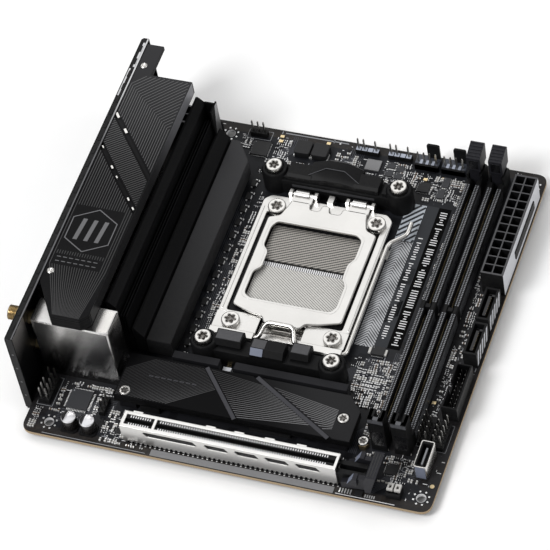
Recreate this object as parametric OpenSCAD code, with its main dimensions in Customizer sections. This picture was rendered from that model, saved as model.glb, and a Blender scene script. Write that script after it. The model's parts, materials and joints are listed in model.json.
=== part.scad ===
// Compact desktop motherboard, 170 mm square, with cooling covers, sockets and rear ports.
// X runs from the rear port edge to the memory edge, Y from the expansion slot side
// to the far side, Z up. The origin is the rear mounting hole next to the expansion
// slot, on the underside of the board where a standoff touches it.
// Inside board_frame() all places are measured from the rear corner of the board.

/* [Board] */
// Side of the square board
board_w = 170.18; // [170:0.01:171]
// Thickness of the board
board_t = 1.57; // [1.4:0.01:1.8]
// Corner radius of the board
corner_r = 5; // [3:0.5:7]
// Radius of a mounting hole
hole_r = 1.98; // [1.9:0.01:2.1]
// First mounting hole, from the rear edge
hole_x = 10.16; // [10:0.01:10.3]
// First mounting hole, from the expansion slot edge
hole_y = 6.35; // [6:0.01:6.5]

/* [Rear ports] */
// Width of the rear shield
shield_w = 159.6; // [158:0.1:160]
// Height of the rear shield
shield_h = 46.4; // [45:0.1:46.6]
// Depth of the rear shield's rim
shield_d = 3.2; // [3:0.1:3.3]
// Height of the cover's top face
cover_z = 43.2; // [43:0.1:43.4]

/* [Power stage cooler] */
// Length of the cooler
cooler_len = 108.6; // [100:0.1:109]
// Height of the tall block
cooler_tall_z = 34.5; // [32:0.1:36]
// Height of the broad step
cooler_step_z = 14; // [13.5:0.1:15]

/* [Processor socket] */
// Socket centre, from the rear edge
socket_x = 88.3; // [88:0.1:89]
// Socket centre, from the expansion slot edge
socket_y = 97.2; // [97:0.1:98]
// Spacing of the cooler screws across the board
clip_dx = 54; // [54:0.1:54.2]
// Spacing of the cooler screws along the board
clip_dy = 90; // [90:0.1:90.2]
// Diameter of the lever's wire
wire_d = 2; // [1.8:0.1:2.2]

/* [Memory] */
// Centre of the first memory slot, from the rear edge
dimm_x = 143; // [142.6:0.1:143.4]
// Distance between the memory slots
dimm_pitch = 9.3; // [9.2:0.1:9.5]
// Height of a slot's body above the underside
dimm_z = 9; // [8.5:0.1:9.5]
// Height of a slot's end tower
tower_z = 22; // [20:0.1:23]

/* [Expansion] */
// Length of the expansion slot's steel sleeve
pcie_len = 89.4; // [88:0.1:90]
// Width of the expansion slot
pcie_w = 7.6; // [7.4:0.1:7.8]
// Height of the expansion slot
pcie_z = 12.8; // [12.5:0.1:13]

/* [Storage cooler] */
// Length of the flat storage cooler
plate_len = 98.4; // [98:0.1:98.8]
// Width of the flat storage cooler
plate_w = 21.2; // [21:0.1:21.4]
// Height of its top face
plate_z = 11; // [11:0.1:11.4]

/* [Hidden] */

$fn = 40;
e = 0.01;
top = board_t;
far_hole_x = 165.1;
far_hole_y = 163.83;
near_far_x = 33.02;
// Lowest level of the whole part: shield rim, socket backplate
foot_z = -2.8;
gap = 0.3;

// Places of the clip screws and of the socket's own screws, from the socket centre
clip_spots = [for (sx = [-1, 1]) for (sy = [-1, 1]) [sx * clip_dx / 2, sy * clip_dy / 2]];
frame_spots = [for (sx = [-1, 1]) for (sy = [-1, 1]) [sx * 21.6, sy * 29.7]];

// Rear ports: y of the port's middle, width
audio_y = 51;
lan_y = 68;
usb_y = 87.5;
type_c_y = 103.5;
display_y = 121;
button_y = 138;
antenna_y = 34.6;
antenna_zs = [14, 31];
antenna_r = 3.1;
// Each audio jack's bore height, underside and top
jack_blocks = [[8.2, top, 14.1], [20.2, 14.3, 26.1], [32, 26.3, 36.1]];
jack_r = 1.8;
port_face_x = -2.7;
port_back_x = 17;
shield_x = -shield_d - 0.2;
// The cover rests on the wireless card's can
cover_low_z = top + 34.8;
shield_y = 13.4;
sheet = 0.5;

pcie_x = 42.8;
pcie_y = 4.2;
pcie_key_x = 55.6;
plate_x = 34.6;
plate_y = 18.9;
atx_x = 160.2;
atx_y = 107;
atx_z = 14.4;
cell = 4.2;
eps_x = 8.4;
eps_y = 155.4;
pin_pitch = 2.54;
pin_w = 0.64;
pin_top = 10.6;

// Hinge lines
lever_y = socket_y - 35;
lever_z = top + 3.1;
plate_hinge_y = socket_y + 37.6;
plate_hinge_z = top + 5;
latch_pivot_y = 161.6;
latch_pivot_z = 6;
hook_pivot_x = 137.5;
hook_pivot_z = 5.5;

// ---- helpers -------------------------------------------------------------

// Moves board measurements, taken from the rear corner, to the part's origin
module board_frame() {
    translate([-hole_x, -hole_y, 0]) children();
}

// A box given by its lowest corner and its size
module box(at, size) {
    translate(at) cube(size);
}

// A flat plate with round corners, built from exact boxes and cylinders
module round_plate(at, size, r) {
    translate(at) {
        translate([r, 0, 0]) cube([size[0] - 2 * r, size[1], size[2]]);
        translate([0, r, 0]) cube([size[0], size[1] - 2 * r, size[2]]);
        for (x = [r, size[0] - r])
            for (y = [r, size[1] - r])
                translate([x, y, 0]) cylinder(r = r, h = size[2]);
    }
}

// A bar along X with the outline given in Y and Z
module bar_x(x0, x1, outline) {
    translate([x0, 0, 0])
        rotate([90, 0, 90])
            linear_extrude(x1 - x0) polygon(outline);
}

// A bar along Y with the outline given in X and Z
module bar_y(y0, y1, outline) {
    translate([0, y1, 0])
        rotate([90, 0, 0])
            linear_extrude(y1 - y0) polygon(outline);
}

// A cylinder along X
module rod_x(x0, x1, y, z, r) {
    translate([x0, y, z]) rotate([0, 90, 0]) cylinder(r = r, h = x1 - x0);
}

// A round screw head with a star recess
module screw_head(at, r, h, recess) {
    translate(at)
        difference() {
            cylinder(r = r, h = h);
            for (a = [0:60:120])
                rotate([0, 0, a])
                    translate([-r * 0.5, -r * 0.15, h - recess])
                        cube([r, r * 0.3, recess + e]);
        }
}

// ---- board -----------------------------------------------------------------

module mount_holes() {
    for (p = [[hole_x, hole_y], [far_hole_x, hole_y], [near_far_x, far_hole_y],
              [far_hole_x, far_hole_y]])
        translate([p[0], p[1], -1]) cylinder(r = hole_r, h = board_t + 2);
}

module pcb() {
    color("#16181d")
        board_frame()
            difference() {
                round_plate([0, 0, 0], [board_w, board_w, board_t], corner_r);
                mount_holes();
                translate([socket_x, socket_y, -1]) {
                    for (p = clip_spots)
                        translate(p) cylinder(r = 2.2, h = board_t + 2);
                    for (p = frame_spots)
                        translate(p) cylinder(r = 2, h = board_t + 2);
                }
                for (p = cooler_screw_spots())
                    translate([p[0], p[1], -1]) cylinder(r = 1.6, h = board_t + 2);
            }
}

// ---- rear ports --------------------------------------------------------------

// Openings of the shield, one box per port and a bore per round connector
module port_openings(grow) {
    x = shield_x - 1;
    d = shield_d + 2;
    for (p = port_boxes())
        box([x, p[0] - grow, p[2] - grow], [d, p[1] + 2 * grow, p[3] + 2 * grow]);
    for (z = antenna_zs)
        rod_x(x, x + d, antenna_y, z, antenna_r + 0.15);
    rod_x(x, x + d, button_y, 12, 2.6);
}

// Each port's low Y side, width, low Z side and height
function port_boxes() = [
    [audio_y - 5.6, 11.2, top + 1, 33],
    [lan_y - 8.3, 16.6, top + 1, 29],
    [usb_y - 7.5, 15, top + 1, 30],
    [type_c_y - 4.7, 9.4, top + 1, 15],
    [display_y - 8.7, 17.4, top + 1, 22]
];

module io_shield() {
    color("#141416")
        board_frame()
            difference() {
                box([shield_x, shield_y, foot_z], [shield_d, shield_w, shield_h]);
                box([shield_x + 0.6, shield_y + 0.6, foot_z + 0.6],
                    [shield_d, shield_w - 1.2, shield_h - 1.2]);
                port_openings(0.1);
            }
}

// Outline of the cover's top face: a long panel, a narrow tab and a cut corner
function cover_outline() = [
    [-0.1, 170.6], [7.2, 170.6], [7.2, 154.6], [25.4, 154.6], [25.4, 32],
    [22.2, 28.6], [9.8, 28.6], [-0.1, 44]
];

module cover_groove(start, width) {
    translate([start[0], start[1], cover_z - 1])
        rotate([0, 0, -49.4])
            translate([-6, -width / 2, 0]) cube([60, width, 2]);
}

module io_cover() {
    color("#1b1b1d")
        board_frame()
            difference() {
                union() {
                    translate([0, 0, cover_low_z])
                        linear_extrude(cover_z - cover_low_z) polygon(cover_outline());
                    // Posts that carry the cover on the board
                    for (y = [62, 100, 147])
                        translate([21.4, y, top]) cylinder(r = 2.2, h = cover_z - 1 - top);
                }
                // Hollow underside, open towards the board
                difference() {
                    box([1.2, 46, cover_low_z - 1], [22.8, 107.2, 5.2]);
                    for (y = [62, 100, 147])
                        translate([21.4, y, 0]) cylinder(r = 2.2, h = cover_z);
                }
                // The tab is a thin plate
                box([-1, 154.61, cover_low_z - 1], [9, 17, 6.2]);
                cover_groove([0, 132.4], 2.2);
                cover_groove([0, 115.2], 2.2);
                for (p = rivet_spots)
                    translate([p[0], p[1], cover_z - 1.2]) cylinder(r = 1.55, h = 2);
            }
}

rivet_spots = [[2.4, 159], [2.4, 49.6]];

module cover_rivets() {
    color("#cfcac2")
        board_frame()
            for (p = rivet_spots)
                translate([p[0], p[1], cover_z - 1.2]) {
                    cylinder(r = 1.5, h = 1.4);
                    translate([0, 0, 1.4]) cylinder(r1 = 1.5, r2 = 1.1, h = 0.2);
                }
}

// ---- power stage -------------------------------------------------------------

cooler_y = 45.4;
function cooler_screw_spots() = [[44, cooler_y + 5], [44, cooler_y + cooler_len - 12]];

module vrm_heatsink() {
    y1 = cooler_y + cooler_len;
    color("#1d1d20")
        board_frame() {
            difference() {
                union() {
                    bar_y(cooler_y, y1, [
                        [25.9, 5.2], [30.2, 5.2], [30.2, cooler_tall_z], [25.9, cooler_tall_z]
                    ]);
                    // Low base that carries the fins
                    bar_y(cooler_y, y1 - 2.2, [
                        [30.2, 5.2], [50.1, 5.2], [50.1, cooler_step_z],
                        [38.7, cooler_step_z], [38.7, 11], [38.1, 11],
                        [38.1, cooler_step_z + 0.2], [34.8, 19], [30.2, 19]
                    ]);
                    // Wall that closes the channel at the far end
                    box([30.2, y1 - 4.8, 18], [4.7, 4.8, cooler_tall_z - 18]);
                    box([30.4, y1 - 2.3, 12], [4.2, 4.2, 6.6]);
                }
                // Channel between the tall block and the sloped step
                box([30.7, cooler_y - 1, 13], [3.4, cooler_len - 3.6, 8]);
                // Cut corner of the broad step
                translate([42.6, y1 - 2.2, 0])
                    rotate([0, 0, -53])
                        box([0, 0, 0], [20, 20, 40]);
                for (p = cooler_screw_spots())
                    translate([p[0], p[1], 0]) cylinder(r = 1.25, h = 10);
            }
            for (i = [0:2])
                box([31.25 + i * 0.95, cooler_y, 13], [0.4, cooler_len - 4.8, 13]);
        }
}

module thermal_pads() {
    color("#8f9298")
        board_frame() {
            box([30, cooler_y + 3, 3.6], [7.5, cooler_len - 9, 1.6]);
            box([39.5, cooler_y + 10, 4.4], [9, cooler_len - 27, 0.8]);
        }
}

module vrm_chokes() {
    color("#4a4b50")
        board_frame()
            for (i = [0:9])
                box([39.8, cooler_y + 12 + i * 8, top], [8, 7, 4.4 - top]);
}

module vrm_mosfets() {
    color("#202124")
        board_frame()
            for (i = [0:11])
                box([31, cooler_y + 5 + i * 8, top], [5, 6, 3.6 - top]);
}

module heatsink_screws() {
    color("#b9bbbf")
        board_frame()
            for (p = cooler_screw_spots())
                translate([p[0], p[1], -1.6]) {
                    cylinder(r = 2.6, h = 1.6);
                    cylinder(r = 1.2, h = 10.8);
                }
}

// ---- wireless card -------------------------------------------------------------

can_at = [-0.1, 29.2, top];
can_size = [33.3, 12, 34.8];

module wifi_can() {
    color("#b4b6ba")
        board_frame()
            difference() {
                box(can_at, can_size);
                box(can_at + [sheet, sheet, -1], can_size + [-2 * sheet, -2 * sheet, 1 - sheet]);
                for (z = antenna_zs)
                    rod_x(-1, 1, antenna_y, z, 2.2);
            }
}

module wifi_card() {
    color("#20303a")
        board_frame() {
            box([6, 36, 6.3], [22, 0.8, 27]);
            box([8, 34.6, 12], [18, 1.4, 18]);
        }
}

module wifi_socket() {
    color("#222225")
        board_frame()
            difference() {
                box([5.4, 33.6, top], [23.2, 6, 5.5]);
                box([5.9, 35.95, 6.2], [22.2, 0.9, 2]);
            }
}

module antenna_connectors() {
    color("#c9a24a")
        board_frame()
            for (z = antenna_zs) {
                difference() {
                    union() {
                        rod_x(-11.6, -3.9, antenna_y, z, antenna_r);
                        rod_x(-3.9, -0.2, antenna_y, z, antenna_r - 0.5);
                    }
                    rod_x(-12, -7.2, antenna_y, z, 2.2);
                }
                rod_x(-10.2, -7.2, antenna_y, z, 0.55);
                rod_x(-0.2, 5, antenna_y, z, 2.1);
            }
}

// ---- ports under the cover -------------------------------------------------------

module port_shell(y, w, z0, h, cavities) {
    difference() {
        box([port_face_x, y - w / 2, z0], [port_back_x - port_face_x, w, h]);
        for (c = cavities)
            box([port_face_x - 1, y - c[1] / 2, c[0]], [c[3] + 1, c[1], c[2]]);
    }
}

// Cavities as [low Z, width, height, depth]
lan_cavities = [[top + 2, 13.2, 5.6, 12], [top + 9, 13.2, 5.6, 12], [top + 16.6, 11.8, 10.5, 14]];
usb_cavities = [for (i = [0:3]) [top + 2 + i * 7.2, 13.2, 5.6, 12]];
type_c_cavities = [for (i = [0:1]) [top + 2.2 + i * 7, 8.3, 2.6, 6]];
display_cavities = [[top + 2.4, 14, 4.6, 10], [top + 13, 16, 5.2, 10]];

module audio_jacks() {
    color("#1c1c1f")
        board_frame()
            for (b = jack_blocks)
                difference() {
                    box([port_face_x, audio_y - 6, b[1]], [15, 12, b[2] - b[1]]);
                    rod_x(port_face_x - 1, 9, audio_y, b[0], jack_r);
                }
}

module lan_usb_shell() {
    color("#a9abb0")
        board_frame()
            port_shell(lan_y, 16.4, top, 29.6, lan_cavities);
}

module usb_stack_shell() {
    color("#a9abb0")
        board_frame()
            port_shell(usb_y, 14.8, top, 30.6, usb_cavities);
}

module usb_c_ports() {
    color("#a9abb0")
        board_frame()
            port_shell(type_c_y, 9.2, top, 15.6, type_c_cavities);
}

module display_shell() {
    color("#a9abb0")
        board_frame()
            port_shell(display_y, 17.2, top, 22.6, display_cavities);
}

// Plastic tongues inside the ports, one per cavity
module port_tongue(y, c, t) {
    box([port_face_x + 1, y - c[1] * 0.4, c[0] + c[2] * 0.55], [c[3] - 1, c[1] * 0.8, t]);
}

module port_inserts() {
    color("#2470b8")
        board_frame() {
            for (i = [0:1]) port_tongue(lan_y, lan_cavities[i], 1.8);
            for (c = usb_cavities) port_tongue(usb_y, c, 1.8);
            for (c = type_c_cavities) port_tongue(type_c_y, c, 0.5);
            for (c = display_cavities) port_tongue(display_y, c, 1);
        }
}

module button_housing() {
    color("#1c1c1f")
        board_frame()
            difference() {
                box([-2.6, button_y - 4, top], [9, 8, 15]);
                rod_x(-3, 4, button_y, 12, 2.4);
            }
}

module flash_button() {
    color("#d8d8d6")
        board_frame()
            rod_x(-3.9, 2.4, button_y, 12, 2.32);
}

// ---- processor socket -------------------------------------------------------------

// Places its children at the socket centre, on top of the board
module at_socket() {
    board_frame()
        translate([socket_x, socket_y, top]) children();
}

module socket_backplate() {
    color("#3a3b3f")
        board_frame()
            translate([socket_x, socket_y, 0])
                difference() {
                    union() {
                        box([-32, -38, foot_z], [64, 76, -foot_z - 0.4]);
                        for (p = clip_spots)
                            translate([p[0], p[1], foot_z]) cylinder(r = 6, h = -foot_z - 0.4);
                        for (p = clip_spots)
                            translate([p[0], p[1], -1]) cylinder(r = 4, h = 1);
                        box([-31, -45, foot_z], [10, 90, -foot_z - 0.4]);
                        box([21, -45, foot_z], [10, 90, -foot_z - 0.4]);
                    }
                    box([-11, -12, foot_z - 1], [22, 24, 5]);
                    for (p = clip_spots)
                        translate([p[0], p[1], foot_z - 1]) cylinder(r = 1.7, h = 6);
                    for (p = frame_spots)
                        translate([p[0], p[1], foot_z - 1]) cylinder(r = 1.45, h = 6);
                }
}

// Black plastic body with a shallow tray for the processor
module socket_body() {
    color("#26262a")
        at_socket()
            difference() {
                round_plate([-25, -24, 0], [48, 50, 3.3], 1.5);
                box([-20.8, -19.2, 1.9], [39.6, 41.6, 2]);
            }
}

// Field of contacts in two halves with a plain band between them
module socket_contacts() {
    color("#a98f52")
        at_socket() {
            box([-20.4, 4.4, 1.9], [38.8, 17.6, 0.7]);
            box([-20.4, -18.8, 1.9], [38.8, 20, 0.7]);
        }
}

// Stamped steel frame around the body, with four screw ears and the hinge lugs
module socket_frame() {
    color("#c4c5c8")
        at_socket() {
            difference() {
                union() {
                    box([-28.8, -27.4, 2.6], [3.4, 61, 1.2]);
                    box([23.9, -27.4, 2.6], [3.2, 61, 1.2]);
                    box([-28.8, 27.6, 2.6], [55.9, 8.2, 1.2]);
                    // Folded channels over the lever's wire, either side of the crank
                    for (c = [[-28.8, 18.6], [9, 18.1]]) {
                        box([c[0], -37.6, 0.6], [c[1], 12.2, 0.6]);
                        box([c[0], -37.6, 0.6], [c[1], 0.7, 4.6]);
                        box([c[0], -37.6, 4.5], [c[1], 3.6, 0.7]);
                        box([c[0], -27.6, 0.6], [c[1], 2.2, 3.2]);
                    }
                    for (p = frame_spots)
                        translate([p[0], p[1], 0]) cylinder(r = 3.9, h = 3.8);
                }
                for (p = frame_spots)
                    translate([p[0], p[1], -1]) cylinder(r = 1.9, h = 8);
            }
            // Lugs that hold the load plate's trunnions
            for (x = [-18.4, -7.6, 6.2, 17])
                difference() {
                    box([x, 35.8, 2.6], [1.4, 3.7, 4.2]);
                    rod_x(x - 1, x + 3, plate_hinge_y - socket_y, plate_hinge_z - top, 1.2);
                }
            // Clips that the lever turns in
            for (x = [-16.6, 12])
                difference() {
                    box([x, -37, 1.2], [2.2, 4.4, 3.4]);
                    rod_x(x - 1, x + 4, lever_y - socket_y, lever_z - top, wire_d / 2 + 0.08);
                }
            // Side tab under the lever
            box([26.4, 15.6, 1.2], [3.8, 4.6, 0.5]);
            box([26.4, 15.6, 1.2], [0.7, 4.6, 1.5]);
        }
}

// Steel plate with the processor window, its pressing lip and two hinge trunnions
module load_plate() {
    z0 = 4.4;
    t = 1.2;
    hinge_dy = plate_hinge_y - socket_y;
    hinge_dz = plate_hinge_z - top;
    color("#d3d3d2")
        at_socket() {
            difference() {
                union() {
                    box([-23.4, -24, z0], [46.4, 57.4, t]);
                    box([-7.8, -28.4, z0 - 0.6], [15, 4.6, t]);
                }
                window_cut(z0 - 1, t + 2);
                // Clearance round the two screws near the hinge
                for (sx = [-1, 1])
                    translate([sx * 21.6, 29.7, z0 - 1]) cylinder(r = 4.7, h = 4);
                box([-6.8, 25.6, z0 - 1], [12, 4.4, 4]);
            }
            for (x = [-16.8, 7.8]) {
                box([x, 33.2, z0], [9, hinge_dy - 33.2, t]);
                rod_x(x - 1.4, x + 10.4, hinge_dy, hinge_dz, 1.1);
            }
        }
}

// Window with notches for the processor's side steps
module window_cut(z, h) {
    translate([0, 0, z])
        linear_extrude(h)
            polygon([
                [-18.6, 22], [15.6, 22], [18.4, 19.6], [18.4, 10], [16.4, 7], [16.4, -0.6],
                [18.6, -3.6], [18.6, -15], [16.8, -17.8], [-17.8, -17.8], [-20.4, -15.8],
                [-20.4, -4.4], [-17.7, -1.8], [-17.7, 6.4], [-20.4, 9], [-20.4, 19]
            ]);
}

// Wire lever: crank at the front, arm along the right side, bent handle
module load_lever() {
    r = wire_d / 2;
    x1 = 28.6;
    dy = lever_y - socket_y;
    dz = lever_z - top;
    rise = 3.2;
    reach = 6.4;
    color("#d9d9d6")
        at_socket() {
            wire_run([
                [-17.6, dy, dz], [-8.4, dy, dz], [-6.4, dy + reach, dz + rise],
                [5, dy + reach, dz + rise], [7, dy, dz], [x1, dy, dz],
                [x1, dy + 57.4, dz], [x1 + 6.4, dy + 63, dz + 0.6], [x1 + 6.4, dy + 69, dz + 1]
            ], r);
        }
}

// A round wire through a list of points, with a slightly fuller ball at each bend
module wire_run(points, r) {
    for (i = [0:len(points) - 2]) {
        d = points[i + 1] - points[i];
        span = norm(d);
        translate(points[i])
            rotate([0, acos(d[2] / span), atan2(d[1], d[0])])
                cylinder(r = r, h = span);
    }
    for (p = points)
        translate(p) sphere(r = r + 0.04);
}

module socket_screws() {
    color("#d8d4cc")
        at_socket()
            for (p = frame_spots) {
                screw_head([p[0], p[1], 3.8], 3.8, 2, 1.2);
                translate([p[0], p[1], foot_z - top + 0.5])
                    cylinder(r = 1.4, h = 3.8 + top - foot_z - 0.5);
            }
}

// Plastic cooler bracket along one side of the socket, dir is +1 far, -1 near
module clip_bracket(dir) {
    y0 = dir * clip_dy / 2;
    difference() {
        union() {
            for (sx = [-1, 1])
                translate([sx * clip_dx / 2, y0, 0]) cylinder(r = 5.6, h = 10.8);
            box([-29, min(y0 - dir * 4, y0 + dir * 3), 0], [58, 7, 8.4]);
            children();
        }
        for (sx = [-1, 1])
            translate([sx * clip_dx / 2, y0, -1]) {
                cylinder(r = 2.3, h = 20);
                translate([0, 0, 11]) cylinder(r = 4, h = 9);
            }
    }
}

module bracket_top() {
    color("#1b1b1e")
        at_socket()
            clip_bracket(1) {
                box([-19.6, 41, 8.3], [11.6, 7.4, 3.6]);
                bar_x(-8, 8, [[41, 8.3], [52.6, 8.3], [52.6, 12.4], [45, 13.2], [41.4, 12]]);
                box([-8, 46, 0], [16, 6.6, 8.4]);
                box([8, 41, 8.3], [11.4, 7.4, 3.6]);
            }
}

module bracket_bottom() {
    color("#1b1b1e")
        at_socket()
            clip_bracket(-1) {
                box([-22.6, -44.8, 8.3], [11.6, 6, 3.6]);
                box([-6.8, -46.8, 8.3], [14, 6.1, 4.2]);
                box([9.2, -44.8, 8.3], [8.2, 6, 3.6]);
                box([-6.8, -49.4, 0], [14, 4, 8.4]);
            }
}

module bracket_screws() {
    color("#d8d4cc")
        at_socket()
            for (p = clip_spots) {
                screw_head([p[0], p[1], 10], 3.4, 2.8, 1.4);
                translate([p[0], p[1], foot_z - top + 0.4])
                    cylinder(r = 1.65, h = 10 + top - foot_z - 0.4);
            }
}

// ---- memory ------------------------------------------------------------------------

slot_y0 = 23.8;
slot_y1 = 156.4;
slot_w = 6.4;
key_y = 90.6;

// One memory slot: long body, closed tower, two cheeks that hold the latch
module memory_slot(x) {
    w = slot_w;
    translate([x, 0, 0])
        difference() {
            union() {
                box([-w / 2, slot_y0 + 4, top], [w, slot_y1 - slot_y0 - 4, dimm_z - top]);
                box([-w / 2, slot_y0, top], [w, 5.4, tower_z - top]);
                for (s = [-w / 2, w / 2 - 0.8])
                    box([s, slot_y1 - e, top], [0.8, 8, 12 - top]);
                box([-w / 2 + 0.5, slot_y1 - e, top], [w - 1, 9.6, 0.8]);
            }
            // Groove for the module, with the key left standing
            box([-0.9, slot_y0 + 2.2, 3.4], [1.8, key_y - 0.9 - slot_y0 - 2.2, 30]);
            box([-0.9, key_y + 0.9, 3.4], [1.8, 80, 30]);
            rod_x(-5, 5, latch_pivot_y, latch_pivot_z, 1.05);
        }
}

module dimm_slot_a() {
    color("#17171a")
        board_frame() memory_slot(dimm_x);
}

module dimm_slot_b() {
    color("#17171a")
        board_frame() memory_slot(dimm_x + dimm_pitch);
}

// Contact rows along both walls of each groove
module dimm_contacts() {
    color("#b79a5b")
        board_frame()
            for (i = [0:1])
                for (s = [-1, 1])
                    for (span = [[slot_y0 + 8, key_y - 2], [key_y + 2, slot_y1 - 3]])
                        box([dimm_x + i * dimm_pitch + s * 0.75 - 0.15, span[0], 3.4],
                            [0.3, span[1] - span[0], 4.6]);
}

// Latch that swings outwards on its trunnions: hooked arm and ridged thumb pad
module memory_latch(x) {
    w = slot_w - 2 * 0.8 - 2 * gap;
    translate([x, 0, 0])
        difference() {
            union() {
                bar_x(-w / 2, w / 2, [
                    [157, 4.4], [160, 3.4], [163.2, 3.4], [164.6, 6], [164.6, 14],
                    [163.4, 19], [157, 19], [157, 12]
                ]);
                bar_x(-2.9, 2.9, [
                    [157, 13.6], [164.8, 13.6], [165.4, 22.6], [164.6, 23.6], [157, 21.6]
                ]);
                rod_x(-3.1, 3.1, latch_pivot_y, latch_pivot_z, 1);
            }
            for (i = [0:4])
                box([-4, 158.2 + i * 1.3, 21.5 + i * 0.34], [8, 0.5, 4]);
        }
}

module dimm_latch_a() {
    color("#2c2d31")
        board_frame() memory_latch(dimm_x);
}

module dimm_latch_b() {
    color("#2c2d31")
        board_frame() memory_latch(dimm_x + dimm_pitch);
}

// ---- expansion slot -----------------------------------------------------------------

pcie_mid = pcie_y + pcie_w / 2;

module pcie_slot() {
    color("#151517")
        board_frame()
            difference() {
                union() {
                    box([pcie_x + 0.5, pcie_y + 0.5, top],
                        [pcie_len - 1, pcie_w - 1, pcie_z - 0.5 - top]);
                    box([pcie_x + pcie_len, pcie_y + 0.7, top], [11.4, pcie_w - 1.4, 8.6]);
                    box([pcie_x + pcie_len - 2, pcie_y + 0.7, top], [4, pcie_w - 1.4, 2.4 - top]);
                }
                box([pcie_x + 2, pcie_mid - 1, 3.6], [pcie_key_x - pcie_x - 2, 2, 20]);
                box([pcie_key_x + 1.6, pcie_mid - 1, 3.6], [100, 2, 20]);
                rod_x_y(hook_pivot_x, hook_pivot_z, 1.05);
            }
}

// A cylinder along Y right through the expansion slot
module rod_x_y(x, z, r) {
    translate([x, -2, z]) rotate([-90, 0, 0]) cylinder(r = r, h = 20);
}

// Folded steel sleeve with side windows and small tabs along its rim
module pcie_armor() {
    color("#cfcdc8")
        board_frame()
            difference() {
                union() {
                    box([pcie_x, pcie_y, 2.4], [pcie_len, pcie_w, pcie_z - 2.4]);
                    for (i = [0:4])
                        box([pcie_x + 6 + i * 15, pcie_y + pcie_w - e, pcie_z - 0.9],
                            [4, 0.6, 0.9]);
                }
                box([pcie_x + 0.5, pcie_y + 0.5, 0], [pcie_len - 1, pcie_w - 1, pcie_z - 0.5]);
                box([pcie_x + 1.4, pcie_y + 1.2, 0], [pcie_key_x - pcie_x - 1.2, pcie_w - 2.4, 20]);
                box([pcie_key_x + 1.4, pcie_y + 1.2, 0],
                    [pcie_x + pcie_len - 3 - pcie_key_x, pcie_w - 2.4, 20]);
                box([pcie_x + pcie_len - 1, pcie_mid - 1.1, 0], [3, 2.2, 20]);
                for (w = [[pcie_x + 10, 23], [pcie_x + 37, 10], [pcie_x + 52, 10],
                          [pcie_x + 67, 10]])
                    side_window(w[0], w[1]);
            }
}

// A long window with pointed ends in the sleeve's front wall
module side_window(x, len) {
    translate([x, pcie_y - 1, 8.6])
        rotate([-90, 0, 0])
            linear_extrude(1.4)
                polygon([[0, 0], [1.6, -1.1], [len - 1.6, -1.1], [len, 0], [len - 1.6, 1.1], [1.6, 1.1]]);
}

module pcie_contacts() {
    color("#b79a5b")
        board_frame()
            for (s = [-1, 1])
                for (span = [[pcie_x + 3, pcie_key_x - 1], [pcie_key_x + 2.6, pcie_x + pcie_len - 4]])
                    box([span[0], pcie_mid + s * 0.85 - 0.15, 3.6], [span[1] - span[0], 0.3, 6]);
}

// Winged lever at the end of the slot: side arms, finger plate and hook
module pcie_latch() {
    x = pcie_x + pcie_len;
    arm_in = pcie_w / 2 - 0.7 + gap;
    color("#202126")
        board_frame() {
            for (s = [-1, 1])
                translate([0, pcie_mid, 0])
                    mirror([0, s < 0 ? 1 : 0, 0]) {
                        bar_side(arm_in, arm_in + 2.2, [
                            [x + 2.2, 4.4], [x + 12, 5.6], [x + 14.4, 8], [x + 14.4, 12.6],
                            [x + 9, 12.6], [x + 5.2, 9], [x + 2.2, 7.6]
                        ]);
                        bar_side(arm_in, arm_in + 3.4, [
                            [x + 5.2, 8.8], [x + 9.4, 8.8], [x + 9.4, 13], [x + 7.6, 13]
                        ]);
                    }
            bar_side_full(x);
            for (s = [-1, 1])
                translate([hook_pivot_x, pcie_mid + s * (pcie_w / 2 - 0.7 + gap) - s * 0.7, hook_pivot_z])
                    rotate([s * -90, 0, 0]) cylinder(r = 1, h = 1.2);
        }
}

// A slab across Y between two offsets, with the outline given in X and Z
module bar_side(y0, y1, outline) {
    translate([0, y1, 0])
        rotate([90, 0, 0])
            linear_extrude(y1 - y0) polygon(outline);
}

// Finger plate that joins the two arms
module bar_side_full(x) {
    bar_y(pcie_mid - 6.4, pcie_mid + 6.4, [
        [x + 12, 5], [x + 14.2, 5], [x + 17.4, 15.6], [x + 13.2, 15.6], [x + 12, 12]
    ]);
}

// ---- storage ------------------------------------------------------------------------

module m2_heatsink() {
    color("#1c1c1f")
        board_frame()
            difference() {
                translate([plate_x, plate_y, plate_z - 4])
                    linear_extrude(4)
                        polygon([
                            [0, 0], [plate_len, 0], [plate_len, plate_w - 6.6],
                            [plate_len - 6, plate_w], [0, plate_w]
                        ]);
                for (p = plate_screw_spots())
                    translate([p[0], p[1], 0]) {
                        cylinder(r = 1.3, h = 30);
                        translate([0, 0, plate_z - 1.4]) cylinder(r = 2.5, h = 4);
                    }
            }
}

function plate_screw_spots() = [[plate_x + 3.8, plate_y + 3.1], [plate_x + 92.8, plate_y + 10.2]];

// Base under the cooler: two feet and the textured rails behind the plate
module m2_rails() {
    color("#25252a")
        board_frame() {
            difference() {
                box([plate_x + 1, plate_y + 1.5, top], [7, plate_w - 3, plate_z - 4 - top]);
                translate([plate_x + 3.8, plate_y + 3.1, 2]) cylinder(r = 1.25, h = 9);
            }
            difference() {
                box([plate_x + 88, plate_y + 1.5, top], [8, 14, plate_z - 4 - top]);
                translate([plate_x + 92.8, plate_y + 10.2, 2]) cylinder(r = 1.25, h = 9);
            }
            box([52, plate_y + plate_w + 2.2, top], [20.6, 3.4, 8.4]);
            box([80, plate_y + plate_w + 2.2, top], [44.6, 3.4, 8.4]);
        }
}

module m2_socket() {
    color("#1e1e21")
        board_frame()
            difference() {
                box([plate_x + 10, plate_y + 1, top], [8, 21.4, 3.6]);
                box([plate_x + 14, plate_y + 1.6, top + 1.3], [8, 20.2, 1.2]);
            }
}

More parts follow.
